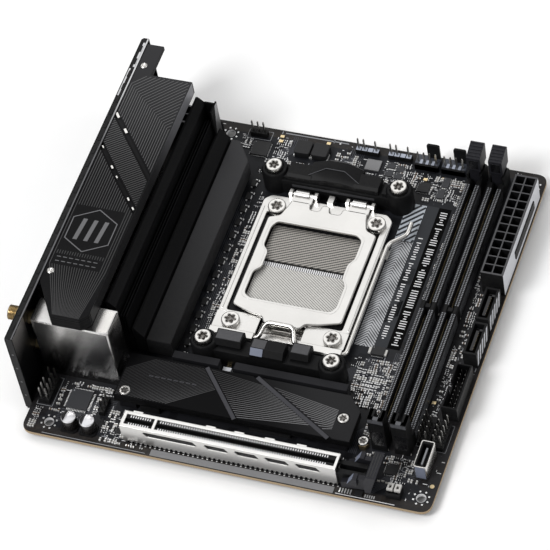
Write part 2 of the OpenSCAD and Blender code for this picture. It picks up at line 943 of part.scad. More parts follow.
module m2_screws() {
    color("#d0ccc4")
        board_frame()
            for (p = plate_screw_spots()) {
                screw_head([p[0], p[1], plate_z - 1.4], 2.4, 1.5, 0.8);
                translate([p[0], p[1], 2.6]) cylinder(r = 1.2, h = plate_z - 1.4 - 2.6);
            }
}

module m2_standoff() {
    color("#c9c5bc")
        board_frame()
            translate([136.2, 24.6, top]) {
                cylinder(r = 2.4, h = 2.4, $fn = 6);
                screw_head([0, 0, 2.4], 2.2, 1, 0.6);
            }
}

module chipset() {
    color("#2a2a2e")
        board_frame() {
            box([90, plate_y + 2, top], [17, 17, 1.2]);
            box([94, plate_y + 6, top + 1.2], [9, 9, 0.8]);
        }
}

// ---- power and data connectors ----------------------------------------------------------

// Power receptacle: rows of square cells of one pitch along Y or X
module cell_block(at, nx, ny, height) {
    w = nx * cell + 1.0;
    l = ny * cell + 1.2;
    difference() {
        box(at, [w, l, height]);
        for (i = [0:nx - 1])
            for (j = [0:ny - 1])
                box(at + [0.8 + i * cell, 0.9 + j * cell, 3], [3.6, 3.6, height]);
    }
}

module atx_connector() {
    color("#141416")
        board_frame() {
            cell_block([atx_x, atx_y, top], 2, 12, atx_z - top);
            box([atx_x + 9.4 - e, atx_y + 17, 7], [0.5, 25, 1.6]);
        }
}

module eps_connector() {
    color("#141416")
        board_frame()
            cell_block([eps_x, eps_y, top], 4, 2, atx_z - top);
}

module power_pins() {
    color("#c9b27a")
        board_frame() {
            for (i = [0:1])
                for (j = [0:11])
                    box([atx_x + 2 + i * cell, atx_y + 2.1 + j * cell, top + 3], [1.2, 1.2, 8]);
            for (i = [0:3])
                for (j = [0:1])
                    box([eps_x + 2 + i * cell, eps_y + 2.1 + j * cell, top + 3], [1.2, 1.2, 8]);
        }
}

// Upright storage port: shroud with a blade inside
module sata_port(y) {
    difference() {
        box([163.3, y, top], [5.7, 16, 8.4]);
        box([164.2, y + 1, top + 2.2], [3.9, 14, 8]);
    }
    box([165.4, y + 2.6, top + 2.2 - e], [1.2, 10.6, 5.2]);
    box([165.4, y + 12.4, top + 2.2 - e], [2.4, 0.9, 5.2]);
}

module sata_ports() {
    color("#131315")
        board_frame() {
            sata_port(70.4);
            sata_port(87.9);
        }
}

usb3_at = [162.5, 43.6, top];

module usb3_header() {
    color("#131315")
        board_frame()
            difference() {
                box(usb3_at, [6.4, 21.8, 8.4]);
                box(usb3_at + [0.7, 0.7, 1.4], [5, 20.4, 9]);
                box(usb3_at + [-1, 9, 4], [2, 4.2, 9]);
            }
}

module front_usb_c() {
    color("#b9bbbf")
        board_frame() {
            difference() {
                round_plate([160, 14.6, top], [5.4, 12.6, 8.4], 1);
                box([160.5, 15.1, top + 1], [4.4, 11.6, 9]);
            }
            box([162.2, 17, top + 1 - e], [0.9, 7.8, 6]);
        }
}

fan_xs = [114.9, 126.4];
fan_y = 162;

module fan_headers() {
    color("#1a1a1d")
        board_frame()
            for (x = fan_xs) {
                difference() {
                    box([x, fan_y, top], [10.2, 5.8, 3]);
                    pin_grid(x + 1.29, fan_y + 2.2, 4, 1, 0, 20, []);
                }
                box([x + 4.6, fan_y + 4.8, top + 3 - e], [5.4, 1, 8]);
            }
}

// Square pins on the standard pitch, with left-out places in skip
module pin_grid(x, y, nx, ny, z0, z1, skip) {
    for (i = [0:nx - 1])
        for (j = [0:ny - 1])
            if (len([for (s = skip) if (s == [i, j]) s]) == 0)
                box([x + i * pin_pitch - pin_w / 2, y + j * pin_pitch - pin_w / 2, z0],
                    [pin_w, pin_w, z1 - z0]);
}

// Pin headers as [x, y, columns, rows, left-out places]
headers = [
    [42.9, 165.6, 3, 1, []],
    [89.6, 165.8, 4, 1, [[2, 0]]],
    [103.8, 165.8, 4, 1, [[2, 0]]],
    [3.8, 15.6, 2, 5, [[0, 3]]],
    [157.6, 30.6, 2, 5, [[1, 4]]],
    [163.6, 29.8, 2, 5, [[0, 4]]],
    [30, 15.2, 1, 3, []]
];

module header_bases() {
    color("#19191c")
        board_frame()
            for (h = headers)
                difference() {
                    box([h[0] - pin_pitch / 2, h[1] - pin_pitch / 2, top],
                        [h[2] * pin_pitch, h[3] * pin_pitch, 2.5]);
                    pin_grid(h[0], h[1], h[2], h[3], 0, 20, h[4]);
                }
}

module header_pins() {
    color("#c9c5b6")
        board_frame() {
            for (h = headers)
                pin_grid(h[0], h[1], h[2], h[3], top, pin_top, h[4]);
            for (x = fan_xs)
                pin_grid(x + 1.29, fan_y + 2.2, 4, 1, top, pin_top, []);
            for (i = [0:1])
                for (j = [0:9])
                    if (i + j > 0)
                        box([usb3_at[0] + 2.2 + i * 2, usb3_at[1] + 1.9 + j * 2, top + 1.4],
                            [0.4, 0.4, 5]);
        }
}

module battery_connector() {
    color("#e8e4da")
        board_frame()
            difference() {
                box([151.8, 3.2, top], [5.8, 4.6, 4.6]);
                box([152.4, 3.8, top + 1], [4.6, 3.4, 9]);
                box([152.9, 2, top + 2.4], [3.6, 3, 9]);
            }
}

cap_spots = [[19.7, 6.2], [27.6, 6.2]];

module audio_capacitors() {
    color("#cfd0d2")
        board_frame()
            for (p = cap_spots)
                translate([p[0], p[1], top]) {
                    cylinder(r = 3.3, h = 0.9);
                    translate([0, 0, 0.9]) cylinder(r = 2.9, h = 0.7);
                    translate([0, 0, 1.6]) cylinder(r = 3.1, h = 7);
                }
}

// Flat packages as [x, y, width, length, height]
packages = [
    [14.2, 14.4, 9, 9, 1.2], [44.6, 154.6, 7.4, 7.4, 0.9], [103.4, 159.8, 3.4, 3, 0.8],
    [107.6, 158.6, 3.4, 3, 0.8], [103.6, 155.4, 3.4, 3, 0.8], [107.8, 154.8, 3.4, 3, 0.8],
    [119, 150.4, 5.2, 5, 0.9], [128.6, 154.6, 3, 5, 1], [128, 148.6, 3, 5, 1],
    [92.4, 156.6, 7.2, 6.4, 0.7], [124.8, 66.6, 5, 4, 1.4], [38.2, 7.2, 4.4, 3.2, 0.9],
    [147.8, 13.6, 5, 5, 0.8]
];

module chips() {
    color("#26282d")
        board_frame()
            for (p = packages)
                box([p[0], p[1], top], [p[2], p[3], p[4]]);
}

module power_coils() {
    color("#2b2c30")
        board_frame()
            for (x = [65, 72.6])
                round_plate([x, 155.9, top], [7, 7, 3.2], 0.5);
}

// Ends of the leads under the board
module solder_tails() {
    color("#b5b7ba")
        board_frame()
            translate([0, 0, -1.3]) {
                for (i = [0:1])
                    for (j = [0:11])
                        translate([atx_x + 2.6 + i * cell, atx_y + 2.7 + j * cell, 0])
                            cylinder(r = 0.8, h = 1.3);
                for (i = [0:3])
                    for (j = [0:1])
                        translate([eps_x + 2.6 + i * cell, eps_y + 2.7 + j * cell, 0])
                            cylinder(r = 0.8, h = 1.3);
            }
}

pcb();
io_shield();
io_cover();
cover_rivets();
vrm_heatsink();
thermal_pads();
vrm_chokes();
vrm_mosfets();
heatsink_screws();
wifi_can();
wifi_card();
wifi_socket();
antenna_connectors();
audio_jacks();
lan_usb_shell();
usb_stack_shell();
usb_c_ports();
display_shell();
port_inserts();
button_housing();
flash_button();
socket_backplate();
socket_body();
socket_contacts();
socket_frame();
load_plate();
load_lever();
socket_screws();
bracket_top();
bracket_bottom();
bracket_screws();
dimm_slot_a();
dimm_slot_b();
dimm_contacts();
dimm_latch_a();
dimm_latch_b();
pcie_slot();
pcie_armor();
pcie_contacts();
pcie_latch();
m2_heatsink();
m2_rails();
m2_socket();
m2_screws();
m2_standoff();
chipset();
atx_connector();
eps_connector();
power_pins();
sata_ports();
usb3_header();
front_usb_c();
fan_headers();
header_bases();
header_pins();
battery_connector();
audio_capacitors();
chips();
power_coils();
solder_tails();
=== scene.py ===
"""Looks of a compact desktop motherboard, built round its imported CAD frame.

All sub-assemblies are drawn in board millimetres: X from the rear port edge,
Y from the expansion slot edge, Z up from the board's underside. One scale and
one shift, taken from the CAD board itself, carry them into the shared frame.
"""

import json
import logging
import math
from dataclasses import dataclass
from enum import Enum
from typing import Generic, TypeVar

import bmesh
import bpy
import numpy as np
from mathutils import Matrix, Vector

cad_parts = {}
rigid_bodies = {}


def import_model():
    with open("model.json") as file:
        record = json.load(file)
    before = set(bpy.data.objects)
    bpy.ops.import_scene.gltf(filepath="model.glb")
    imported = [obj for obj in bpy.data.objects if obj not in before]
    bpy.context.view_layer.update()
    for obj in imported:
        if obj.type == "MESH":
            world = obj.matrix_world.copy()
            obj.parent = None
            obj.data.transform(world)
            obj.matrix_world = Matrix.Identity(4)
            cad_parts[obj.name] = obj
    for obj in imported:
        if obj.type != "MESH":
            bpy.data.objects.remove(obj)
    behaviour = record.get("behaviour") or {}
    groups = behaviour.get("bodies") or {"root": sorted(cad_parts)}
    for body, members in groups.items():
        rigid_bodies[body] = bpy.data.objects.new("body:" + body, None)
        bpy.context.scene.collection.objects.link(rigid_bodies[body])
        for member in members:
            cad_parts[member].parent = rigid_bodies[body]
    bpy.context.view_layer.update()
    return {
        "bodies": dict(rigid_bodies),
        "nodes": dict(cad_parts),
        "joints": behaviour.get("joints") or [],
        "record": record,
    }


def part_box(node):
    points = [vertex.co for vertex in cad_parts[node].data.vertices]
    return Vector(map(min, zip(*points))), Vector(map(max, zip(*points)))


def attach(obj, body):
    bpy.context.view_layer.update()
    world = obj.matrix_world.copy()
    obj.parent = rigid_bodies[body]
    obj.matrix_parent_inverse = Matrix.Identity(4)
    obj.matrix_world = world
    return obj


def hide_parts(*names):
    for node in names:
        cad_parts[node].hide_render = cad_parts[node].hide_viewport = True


LOG = logging.getLogger("motherboard")
SEED = 7
MM = 0.001

# Millimetres: the board's upper side, the level just above it that parts stand on,
# the pitch of pin headers, the thickness of print, how far engraved lines reach
# under and over their surface, and the floor.
TOP = 1.57
SEAT = TOP + 0.02
PITCH = 2.54
PRINT = 0.03
SUNK = 0.01
PROUD = 0.015
FLOOR_LEVEL = -2.85

# Degrees: edges sharper than this are softened.
SOFTENED = 40

# Features per metre of slow colour change and of wear, the pointiness at which wear
# starts and is complete, and the strength of fine grain.
BROAD = 60.0
WEAR_SCALE = 900.0
RIDGE = (0.51, 0.6)
GRAIN_BUMP = 0.14

Pair = tuple[float, float]
Triple = tuple[float, float, float]
Sizes = TypeVar("Sizes")


class Body(Enum):
    """The rigid bodies that pieces ride on."""

    BOARD = "board"
    LEVER = "load_lever"
    PLATE = "load_plate"
    LATCH_A = "dimm_latch_a"
    LATCH_B = "dimm_latch_b"
    HOOK = "pcie_latch"


class Axis(Enum):
    """The direction an outline is pushed along, and the order its columns take."""

    X = (2, 0, 1)
    Y = (0, 2, 1)
    Z = (0, 1, 2)


# ---- Finishes ----


class NodeSheet:
    """A material's node tree with short ways to add and join nodes."""

    def __init__(self, name: str) -> None:
        """Start an empty material.

        Args:
            name: Name of the material.
        """
        self.material = bpy.data.materials.new(f"fine_{name}")
        self.material.use_nodes = True
        self.tree = self.material.node_tree
        self.shader = self.tree.nodes["Principled BSDF"]
        self.place = self.add("ShaderNodeTexCoord").outputs["Object"]

    def add(self, kind: str, feeds: dict | None = None, **settings) -> bpy.types.Node:
        """Add a node.

        Args:
            kind: Blender's node type.
            feeds: Socket or plain value for each input, by name or number.
            settings: Node properties to set.

        Returns:
            The new node.
        """
        made = self.tree.nodes.new(kind)
        for key, value in settings.items():
            setattr(made, key, value)
        self.feed(made, feeds or {})
        return made

    def feed(self, node: bpy.types.Node, feeds: dict) -> None:
        """Join outputs to a node's inputs, or set the inputs to plain values.

        Args:
            node: The node.
            feeds: Output socket or value for each input, by name or number.
        """
        for key, source in feeds.items():
            if isinstance(source, bpy.types.NodeSocket):
                self.tree.links.new(source, node.inputs[key])
            else:
                node.inputs[key].default_value = source

    def maths(self, operation: str, first, second=0.0) -> bpy.types.NodeSocket:
        """Add a maths node.

        Args:
            operation: Blender's operation name.
            first: First socket or value.
            second: Second socket or value.

        Returns:
            The result's socket.
        """
        return self.add("ShaderNodeMath", {0: first, 1: second}, operation=operation).outputs[0]

    def noise(self, scale: float, detail: float = 3.0,
              stretch: Triple = (1, 1, 1)) -> bpy.types.NodeSocket:
        """Add a noise texture in object space.

        Args:
            scale: Features per metre.
            detail: Octaves.
            stretch: Scale along each axis.

        Returns:
            The noise value's socket.
        """
        mapping = self.add("ShaderNodeMapping", {"Scale": stretch, "Vector": self.place})
        feeds = {"Scale": scale, "Detail": detail, "Vector": mapping.outputs[0]}
        return self.add("ShaderNodeTexNoise", feeds).outputs["Fac"]

    def ramp(self, value, stops: list[tuple[float, tuple]]) -> bpy.types.NodeSocket:
        """Turn a value into a colour.

        Args:
            value: Value socket.
            stops: Place and colour of each stop.

        Returns:
            The colour socket.
        """
        made = self.add("ShaderNodeValToRGB")
        ramp = made.color_ramp
        while len(ramp.elements) < len(stops):
            ramp.elements.new(0.5)
        for element, (place, colour) in zip(ramp.elements, stops):
            element.position = place
            element.color = (*colour, 1.0)
        self.feed(made, {"Fac": value})
        return made.outputs["Color"]

    def span(self, value, low: float, high: float) -> bpy.types.NodeSocket:
        """Stretch a 0 to 1 value to a range.

        Args:
            value: Value socket.
            low: Result at 0.
            high: Result at 1.

        Returns:
            The result's socket.
        """
        feeds = {"Value": value, "To Min": low, "To Max": high}
        return self.add("ShaderNodeMapRange", feeds).outputs["Result"]

    def mix(self, factor, first, second) -> bpy.types.NodeSocket:
        """Mix two colours.

        Args:
            factor: Socket or value, 0 gives the first colour.
            first: Colour socket or triple.
            second: Colour socket or triple.

        Returns:
            The mixed colour's socket.
        """
        one, two = ((*v, 1.0) if isinstance(v, tuple) else v for v in (first, second))
        feeds = {"Factor": factor, 6: one, 7: two}
        return self.add("ShaderNodeMix", feeds, data_type="RGBA").outputs[2]

    def paint_light_blend(self, colour, way: Triple, start: float, end: float, goal: Triple):
        """Paint light or shade: blend a colour into another along a direction.

        Args:
            colour: Colour socket.
            way: Direction in the frame.
            start: Where the blend begins, in millimetres along the direction.
            end: Where it is complete.
            goal: Colour at the end.

        Returns:
            The blended colour's socket.
        """
        reach = self.add("ShaderNodeVectorMath", {0: self.place, 1: way}, operation="DOT_PRODUCT")
        feeds = {"Value": reach.outputs["Value"], "From Min": start * MM, "From Max": end * MM}
        share = self.add("ShaderNodeMapRange", feeds, interpolation_type="SMOOTHSTEP")
        return self.mix(share.outputs["Result"], colour, goal)

    def bump(self, height, strength: float, distance: float) -> None:
        """Join a height to the shader's normal.

        Args:
            height: Height socket.
            strength: Bump strength.
            distance: Height in metres of a value of 1.
        """
        feeds = {"Strength": strength, "Distance": distance, "Height": height}
        self.feed(self.shader, {"Normal": self.add("ShaderNodeBump", feeds).outputs["Normal"]})

    def worn_edges(self, colour, wear: tuple, amount: float) -> bpy.types.NodeSocket:
        """Lighten a colour on sharp edges, broken up by noise.

        Args:
            colour: Colour socket or triple.
            wear: Colour of a rubbed edge.
            amount: How much of it shows, 0 to 1.

        Returns:
            The worn colour's socket.
        """
        ridge = self.add("ShaderNodeNewGeometry").outputs["Pointiness"]
        feeds = {"Value": ridge, "From Min": RIDGE[0], "From Max": RIDGE[1], "To Max": amount}
        sharp = self.add("ShaderNodeMapRange", feeds)
        broken = self.maths("MULTIPLY", sharp.outputs["Result"], self.noise(WEAR_SCALE))
        return self.mix(broken, colour, wear)


@dataclass(frozen=True)
class Finish:
    """A surface with fine grain, slight colour change, rubbed edges and, where given, a painted light or
    shade gradient.
    """

    name: str
    colour: Triple
    rough: Pair = (0.4, 0.5)
    metal: float = 0.0
    grain: float = 2500.0
    grain_depth: float = 0.00001
    shade: float = 0.12
    wear: Triple | None = None
    wear_amount: float = 0.3
    stretch: Triple = (1.0, 1.0, 1.0)
    coat: float = 0.0
    gloss: float = 0.3
    # Painted light and shade: direction, start, end and colour of a gradient that stands in for light
    # falling across the surface.
    painted_gradient: tuple[Triple, float, float, Triple] | None = None

    def build(self) -> bpy.types.Material:
        """Make the material.

        Returns:
            The new material.
        """
        s = NodeSheet(self.name)
        broad = s.noise(BROAD, 4.0)
        fine = s.noise(self.grain, 3.0, self.stretch)
        dark = tuple(c * (1 - self.shade) for c in self.colour)
        light = tuple(min(1.0, c * (1 + self.shade)) for c in self.colour)
        body = s.ramp(broad, [(0.3, dark), (0.7, light)])
        body = s.mix(s.span(fine, 0.0, 0.35), body, dark)
        # Painted light and shade: blend towards a lighter or darker colour along a direction.
        if self.painted_gradient:
            body = s.paint_light_blend(body, *self.painted_gradient)
        wear = self.wear or tuple(min(1.0, c * 1.3 + 0.004) for c in self.colour)
        worn = s.worn_edges(body, wear, self.wear_amount)
        blend = s.maths("ADD", s.maths("MULTIPLY", broad, 0.5), s.maths("MULTIPLY", fine, 0.5))
        s.feed(s.shader, {"Base Color": worn, "Roughness": s.span(blend, *self.rough),
                          "Metallic": self.metal, "Specular IOR Level": self.gloss,
                          "Coat Weight": self.coat, "Coat Roughness": 0.2})
        s.bump(fine, GRAIN_BUMP, self.grain_depth)
        return s.material


@dataclass(frozen=True)
class BoardFinish:
    """Dark solder mask with faint copper runs and a tan laminate edge."""

    name: str
    mask: Triple = (0.006, 0.0065, 0.0085)
    copper: Triple = (0.022, 0.0235, 0.028)
    edge: Triple = (0.36, 0.27, 0.17)

    def build(self) -> bpy.types.Material:
        """Make the material.

        Returns:
            The new material.
        """
        s = NodeSheet(self.name)
        cells = s.add("ShaderNodeTexVoronoi", {"Scale": 160.0, "Vector": s.place}, distance="CHEBYCHEV")
        pour = s.ramp(cells.outputs["Distance"], [(0.25, (0, 0, 0)), (0.32, (1, 1, 1))])
        broad = s.noise(45.0, 3.0)
        fine = s.noise(4000.0, 2.0)
        runs = s.mix(s.span(pour, 0.0, 0.5), self.mask, self.copper)
        runs = s.mix(s.span(broad, 0.0, 0.6), runs, self.mask)
        split = s.add("ShaderNodeSeparateXYZ")
        s.feed(split, {0: s.add("ShaderNodeNewGeometry").outputs["Normal"]})
        side = s.maths("LESS_THAN", s.maths("ABSOLUTE", split.outputs["Z"]), 0.5)
        body = s.mix(side, runs, self.edge)
        s.feed(s.shader, {"Base Color": s.worn_edges(body, self.edge, 0.2),
                          "Roughness": s.span(broad, 0.38, 0.52), "Specular IOR Level": 0.14})
        height = s.maths("ADD", s.maths("MULTIPLY", fine, 0.2), pour)
        s.bump(height, 0.4, 0.00002)
        return s.material


@dataclass(frozen=True)
class StripeFinish:
    """Fine slanted stripes with breaks, mirrored at X = fold millimetres where given."""

    name: str
    light: Triple = (0.42, 0.41, 0.38)
    dark: Triple = (0.03, 0.03, 0.03)
    way: Pair = (0.5, 1.0)
    across: float = 1.0
    along: float = 0.7
    cover: float = 0.5
    metal: float = 0.6
    fold: float = 0.0

    def build(self) -> bpy.types.Material:
        """Make the material.

        Returns:
            The new material.
        """
        s = NodeSheet(self.name)
        split = s.add("ShaderNodeSeparateXYZ", {0: s.place})
        x, y = split.outputs["X"], split.outputs["Y"]
        if self.fold:
            x = s.maths("ABSOLUTE", s.maths("SUBTRACT", x, self.fold * MM))
        u = s.maths("ADD", s.maths("MULTIPLY", x, self.way[0]), s.maths("MULTIPLY", y, self.way[1]))
        v = s.maths("SUBTRACT", s.maths("MULTIPLY", x, self.way[1]), s.maths("MULTIPLY", y, self.way[0]))
        size = math.hypot(*self.way)
        first = s.maths("SINE", s.maths("MULTIPLY", u, 2 * math.pi / (self.across * MM * size)))
        second = s.maths("SINE", s.maths("MULTIPLY", v, 2 * math.pi / (self.along * MM * size)))
        both = s.maths("ADD", s.maths("MULTIPLY", first, 0.4), s.maths("MULTIPLY", second, 0.15))
        level = s.maths("ADD", both, 0.5)
        edge = 1.0 - self.cover
        spot = s.ramp(level, [(max(0.0, edge - 0.12), (0, 0, 0)), (min(1.0, edge + 0.12), (1, 1, 1))])
        fine = s.noise(3000.0, 2.0)
        light = s.mix(fine, self.light, tuple(c * 0.7 for c in self.light))
        body = s.mix(spot, self.dark, light)
        s.feed(s.shader, {"Base Color": s.worn_edges(body, self.light, 0.2),
                          "Roughness": s.span(fine, 0.3, 0.5),
                          "Metallic": s.span(spot, 0.0, self.metal), "Specular IOR Level": 0.3})
        s.bump(spot, 0.5, 0.00006)
        return s.material


class Paint(Enum):
    """Every finish used on the part, painted light and shade among them."""

    BOARD = BoardFinish("solder_mask")
    # Black cover paint; its rise to a lighter colour towards the far end is a painted sheen.
    COVER = Finish("cover_paint", (0.006, 0.006, 0.0065), (0.42, 0.55), grain=5000.0,
                   grain_depth=0.00003, wear=(0.03, 0.03, 0.03), wear_amount=0.4, gloss=0.04,
                   painted_gradient=((0.15, 1, 0), 90.0, 165.0, (0.035, 0.035, 0.037)))
    # Painted reflection: a dark side that turns pale towards the far end.
    COVER_SIDE = Finish("cover_side_painted_reflection", (0.012, 0.012, 0.013), (0.4, 0.52), metal=0.3, gloss=0.3,
                        painted_gradient=((0, 1, 0), 95.0, 150.0, (0.26, 0.26, 0.28)))
    # Engraved lines: grey, brightening to a painted highlight towards the far end.
    ENGRAVED = Finish("engraved_line_painted_highlight", (0.045, 0.045, 0.046), (0.35, 0.5), metal=0.2, gloss=0.15,
                      painted_gradient=((0.15, 1, 0), 70.0, 150.0, (0.12, 0.12, 0.122)))
    EMBLEM = Finish("emblem_grey", (0.12, 0.12, 0.125), (0.35, 0.45), metal=0.5)
    SHIELD = Finish("shield_paint", (0.005, 0.005, 0.0055), (0.35, 0.48), metal=0.05, gloss=0.1,
                    wear=(0.07, 0.07, 0.07))
    # Painted light and shade on the shield's inner face: dark low down, pale metal towards the top.
    SHIELD_IN = Finish("shield_inner_painted_light", (0.02, 0.02, 0.021), (0.3, 0.44), metal=0.8,
                       painted_gradient=((0, -0.3, 1), 16.0, 38.0, (0.62, 0.59, 0.57)))
    # Painted highlight: thin bright strips and dots on the shield's rim and end, dim towards the near end.
    SHIELD_LIP = Finish("shield_painted_highlight", (0.1, 0.1, 0.105), (0.25, 0.4), metal=0.8,
                        stretch=(1, 0.05, 1), painted_gradient=((0, 1, 0), 105.0, 150.0, (0.6, 0.6, 0.61)))
    COOLER = Finish("anodised_black", (0.0025, 0.0025, 0.003), (0.4, 0.5), gloss=0.015,
                    grain=6000.0, stretch=(1, 0.03, 1), wear=(0.03, 0.03, 0.03), wear_amount=0.3)
    # Painted light: a slightly lighter copy of the anodised black for the two blocks with sloped tops.
    COOLER_SLOPE = Finish("anodised_slope_lit", (0.005, 0.005, 0.0055), (0.34, 0.44), metal=0.05,
                          gloss=0.06, grain=6000.0, stretch=(1, 0.03, 1), wear=(0.03, 0.03, 0.03))
    # Satin anodised plate; its rise to a lighter colour towards the far end is a painted sheen.
    COOLER_LIGHT = Finish("anodised_satin_painted_sheen", (0.007, 0.007, 0.0075), (0.32, 0.42), metal=0.1,
                          gloss=0.08, grain=5000.0, grain_depth=0.00003, wear=(0.07, 0.07, 0.07),
                          painted_gradient=((0.2, 1, 0), 40.0, 150.0, (0.034, 0.034, 0.036)))
    # Painted light: the anodised black shown as a lit grey face, with painted shade darkening it low down.
    COOLER_SIDE = Finish("anodised_painted_lit_side", (0.3, 0.3, 0.31), (0.35, 0.45), metal=0.6,
                         painted_gradient=((0, 0, -1), -34.0, -18.0, (0.03, 0.03, 0.03)))
    # Black storage cooler top; its rise to a lighter colour towards the far right end is a painted sheen.
    FLAT_TOP = Finish("storage_top_painted_sheen", (0.003, 0.003, 0.0034), (0.36, 0.48), gloss=0.04,
                      painted_gradient=((1, 0.9, 0), 95.0, 140.0, (0.02, 0.02, 0.021)))
    # Engraved lines: dark, brightening to a painted highlight towards the near right corner.
    FAN_LINE = Finish("storage_line_painted_highlight", (0.03, 0.03, 0.031), (0.35, 0.5), metal=0.2, gloss=0.1,
                      painted_gradient=((0.35, -1, 0), -10.0, 22.0, (0.2, 0.2, 0.205)))
    GROOVE = Finish("storage_groove", (0.04, 0.04, 0.046), (0.4, 0.5), metal=0.4)
    RAIL = Finish("grained_rail", (0.012, 0.012, 0.014), (0.5, 0.65), gloss=0.12, grain=1800.0,
                  grain_depth=0.00006, shade=0.4)
    PLASTIC = Finish("black_plastic", (0.004, 0.004, 0.0045), (0.36, 0.48), grain=3500.0, gloss=0.1,
                     grain_depth=0.00002, wear=(0.035, 0.035, 0.035), wear_amount=0.4)
    # Painted highlight: grey strips on the top edges of black plastic parts.
    RIM = Finish("plastic_rim_painted_highlight", (0.045, 0.045, 0.05), (0.4, 0.5), wear=(0.14, 0.14, 0.14))
    TICK = Finish("moulded_tick", (0.2, 0.205, 0.22), (0.4, 0.55))
    # Painted highlight: grey bands on tower tops and along the bracket's crown.
    TOWER = Finish("slot_tower_top_painted_highlight", (0.06, 0.062, 0.068), (0.4, 0.5), wear=(0.2, 0.2, 0.22))
    GLOSS = Finish("glossy_plastic", (0.004, 0.004, 0.005), (0.2, 0.3), coat=0.15)
    LATCH = Finish("latch_plastic", (0.008, 0.008, 0.01), (0.35, 0.48), gloss=0.15, wear=(0.1, 0.1, 0.12))
    # Painted reflection: blue-grey facets on black plastic and a blue-grey sheet on a steel shell.
    FACET = Finish("latch_facet_painted_reflection", (0.17, 0.19, 0.25), (0.3, 0.45), wear=(0.3, 0.32, 0.4))
    PALE = Finish("pale_plastic", (0.5, 0.49, 0.47), (0.4, 0.55), shade=0.05)
    PALE_BLUE = Finish("header_top", (0.36, 0.39, 0.46), (0.35, 0.5), shade=0.15)
    SLATE = Finish("slate_plastic", (0.03, 0.033, 0.042), (0.3, 0.45), wear=(0.2, 0.22, 0.27))
    # Pale grey: the small plug's own colour, and painted reflections on the sides of black connectors.
    PALE_GREY = Finish("pale_grey_and_painted_reflection", (0.55, 0.56, 0.59), (0.4, 0.5), shade=0.1)
    BLUE = Finish("port_tongue", (0.03, 0.1, 0.4), (0.4, 0.5))
    STEEL = Finish("bright_steel", (0.66, 0.645, 0.62), (0.2, 0.34), metal=1.0,
                   wear=(0.85, 0.85, 0.85), shade=0.1)
    NICKEL = Finish("nickel_plate", (0.62, 0.61, 0.59), (0.24, 0.36), metal=1.0,
                    stretch=(0.08, 1, 1), grain=5000.0, shade=0.07, wear=(0.85, 0.85, 0.85))
    DARK_STEEL = Finish("steel_in_shade", (0.2, 0.19, 0.18), (0.3, 0.4), metal=1.0)
    MIRROR = Finish("polished_can", (0.6, 0.59, 0.58), (0.16, 0.3), metal=1.0, shade=0.3,
                    wear=(0.9, 0.9, 0.9))
    # Painted reflection: bright blotches on the can's front, dark towards the lower right.
    CAN_FACE = Finish("can_face_painted_reflection", (0.62, 0.61, 0.6), (0.16, 0.3), metal=1.0, shade=0.5,
                      painted_gradient=((0.55, 0, -1), -30.0, -9.0, (0.02, 0.02, 0.023)))
    SLEEVE = Finish("slot_sleeve", (0.7, 0.69, 0.67), (0.28, 0.4), metal=1.0, shade=0.05,
                    stretch=(0.08, 1, 1), wear=(0.9, 0.9, 0.9))
    GOLD = Finish("gold_plate", (0.6, 0.48, 0.29), (0.22, 0.36), metal=1.0, wear=(0.85, 0.7, 0.4))
    PIN = Finish("pin_metal", (0.34, 0.335, 0.32), (0.22, 0.36), metal=1.0)
    SOLDER = Finish("solder", (0.7, 0.7, 0.7), (0.3, 0.5), metal=0.6, shade=0.35)
    CHIP = Finish("chip_resin", (0.009, 0.009, 0.01), (0.45, 0.6), grain=4000.0,
                  grain_depth=0.00002, wear=(0.05, 0.05, 0.05))
    CHIP_GREY = Finish("grey_resin", (0.035, 0.036, 0.04), (0.45, 0.6), grain=4000.0)
    PATCH = Finish("plain_cover_patch", (0.2, 0.2, 0.205), (0.5, 0.6), shade=0.03)
    CERAMIC = Finish("capacitor_brown", (0.12, 0.09, 0.07), (0.4, 0.55), shade=0.3)
    CERAMIC_PALE = Finish("capacitor_grey", (0.32, 0.31, 0.29), (0.4, 0.55), shade=0.3)
    SILK = Finish("silk_print", (0.72, 0.72, 0.73), (0.5, 0.6), shade=0.05)
    SILK_BLUE = Finish("silk_print_blue", (0.4, 0.43, 0.47), (0.45, 0.55), shade=0.08)
    SILK_GREY = Finish("silk_print_grey", (0.24, 0.246, 0.26), (0.5, 0.6), shade=0.1)
    LABEL = Finish("silk_black", (0.002, 0.002, 0.002), (0.4, 0.5), gloss=0.02)
    BAND = Finish("silk_slate", (0.024, 0.026, 0.03), (0.4, 0.5), shade=0.1, gloss=0.15)
    TRACE = Finish("trace_under_mask", (0.04, 0.042, 0.05), (0.34, 0.46), metal=0.2)
    ALUMINIUM = Finish("capacitor_can", (0.66, 0.66, 0.68), (0.22, 0.36), metal=1.0, shade=0.05)
    CAN_SIDE = Finish("capacitor_side", (0.012, 0.011, 0.011), (0.2, 0.3), metal=0.3, gloss=0.5)
    PADS = Finish("thermal_pad", (0.28, 0.28, 0.3), (0.7, 0.85))
    CARD = Finish("card_laminate", (0.02, 0.05, 0.06), (0.35, 0.45))
    FIELD = StripeFinish("contact_field", (0.4, 0.38, 0.35), (0.035, 0.035, 0.035), (-0.5, 1.0), 1.25,
                         0.8, 0.52)
    FIELD_SLANT = StripeFinish("contact_field_slant", (0.62, 0.61, 0.58), (0.16, 0.155, 0.15),
                               (0.7, 1.0), 0.9, 0.8, 0.66)
    HATCH = StripeFinish("printed_hatch", (0.46, 0.47, 0.49), (0.02, 0.021, 0.025), (1.0, 1.0), 1.0,
                         9.0, 0.5, 0.0, 111.2)
    FLOOR = Finish("studio_floor", (0.93, 0.93, 0.93), (0.75, 0.85), shade=0.004, grain=800.0)

    def material(self) -> bpy.types.Material:
        """Give the finish's material, made on first use.

        Returns:
            The material.
        """
        found = bpy.data.materials.get(f"fine_{self.value.name}")
        return found or self.value.build()


# ---- Shapes ----

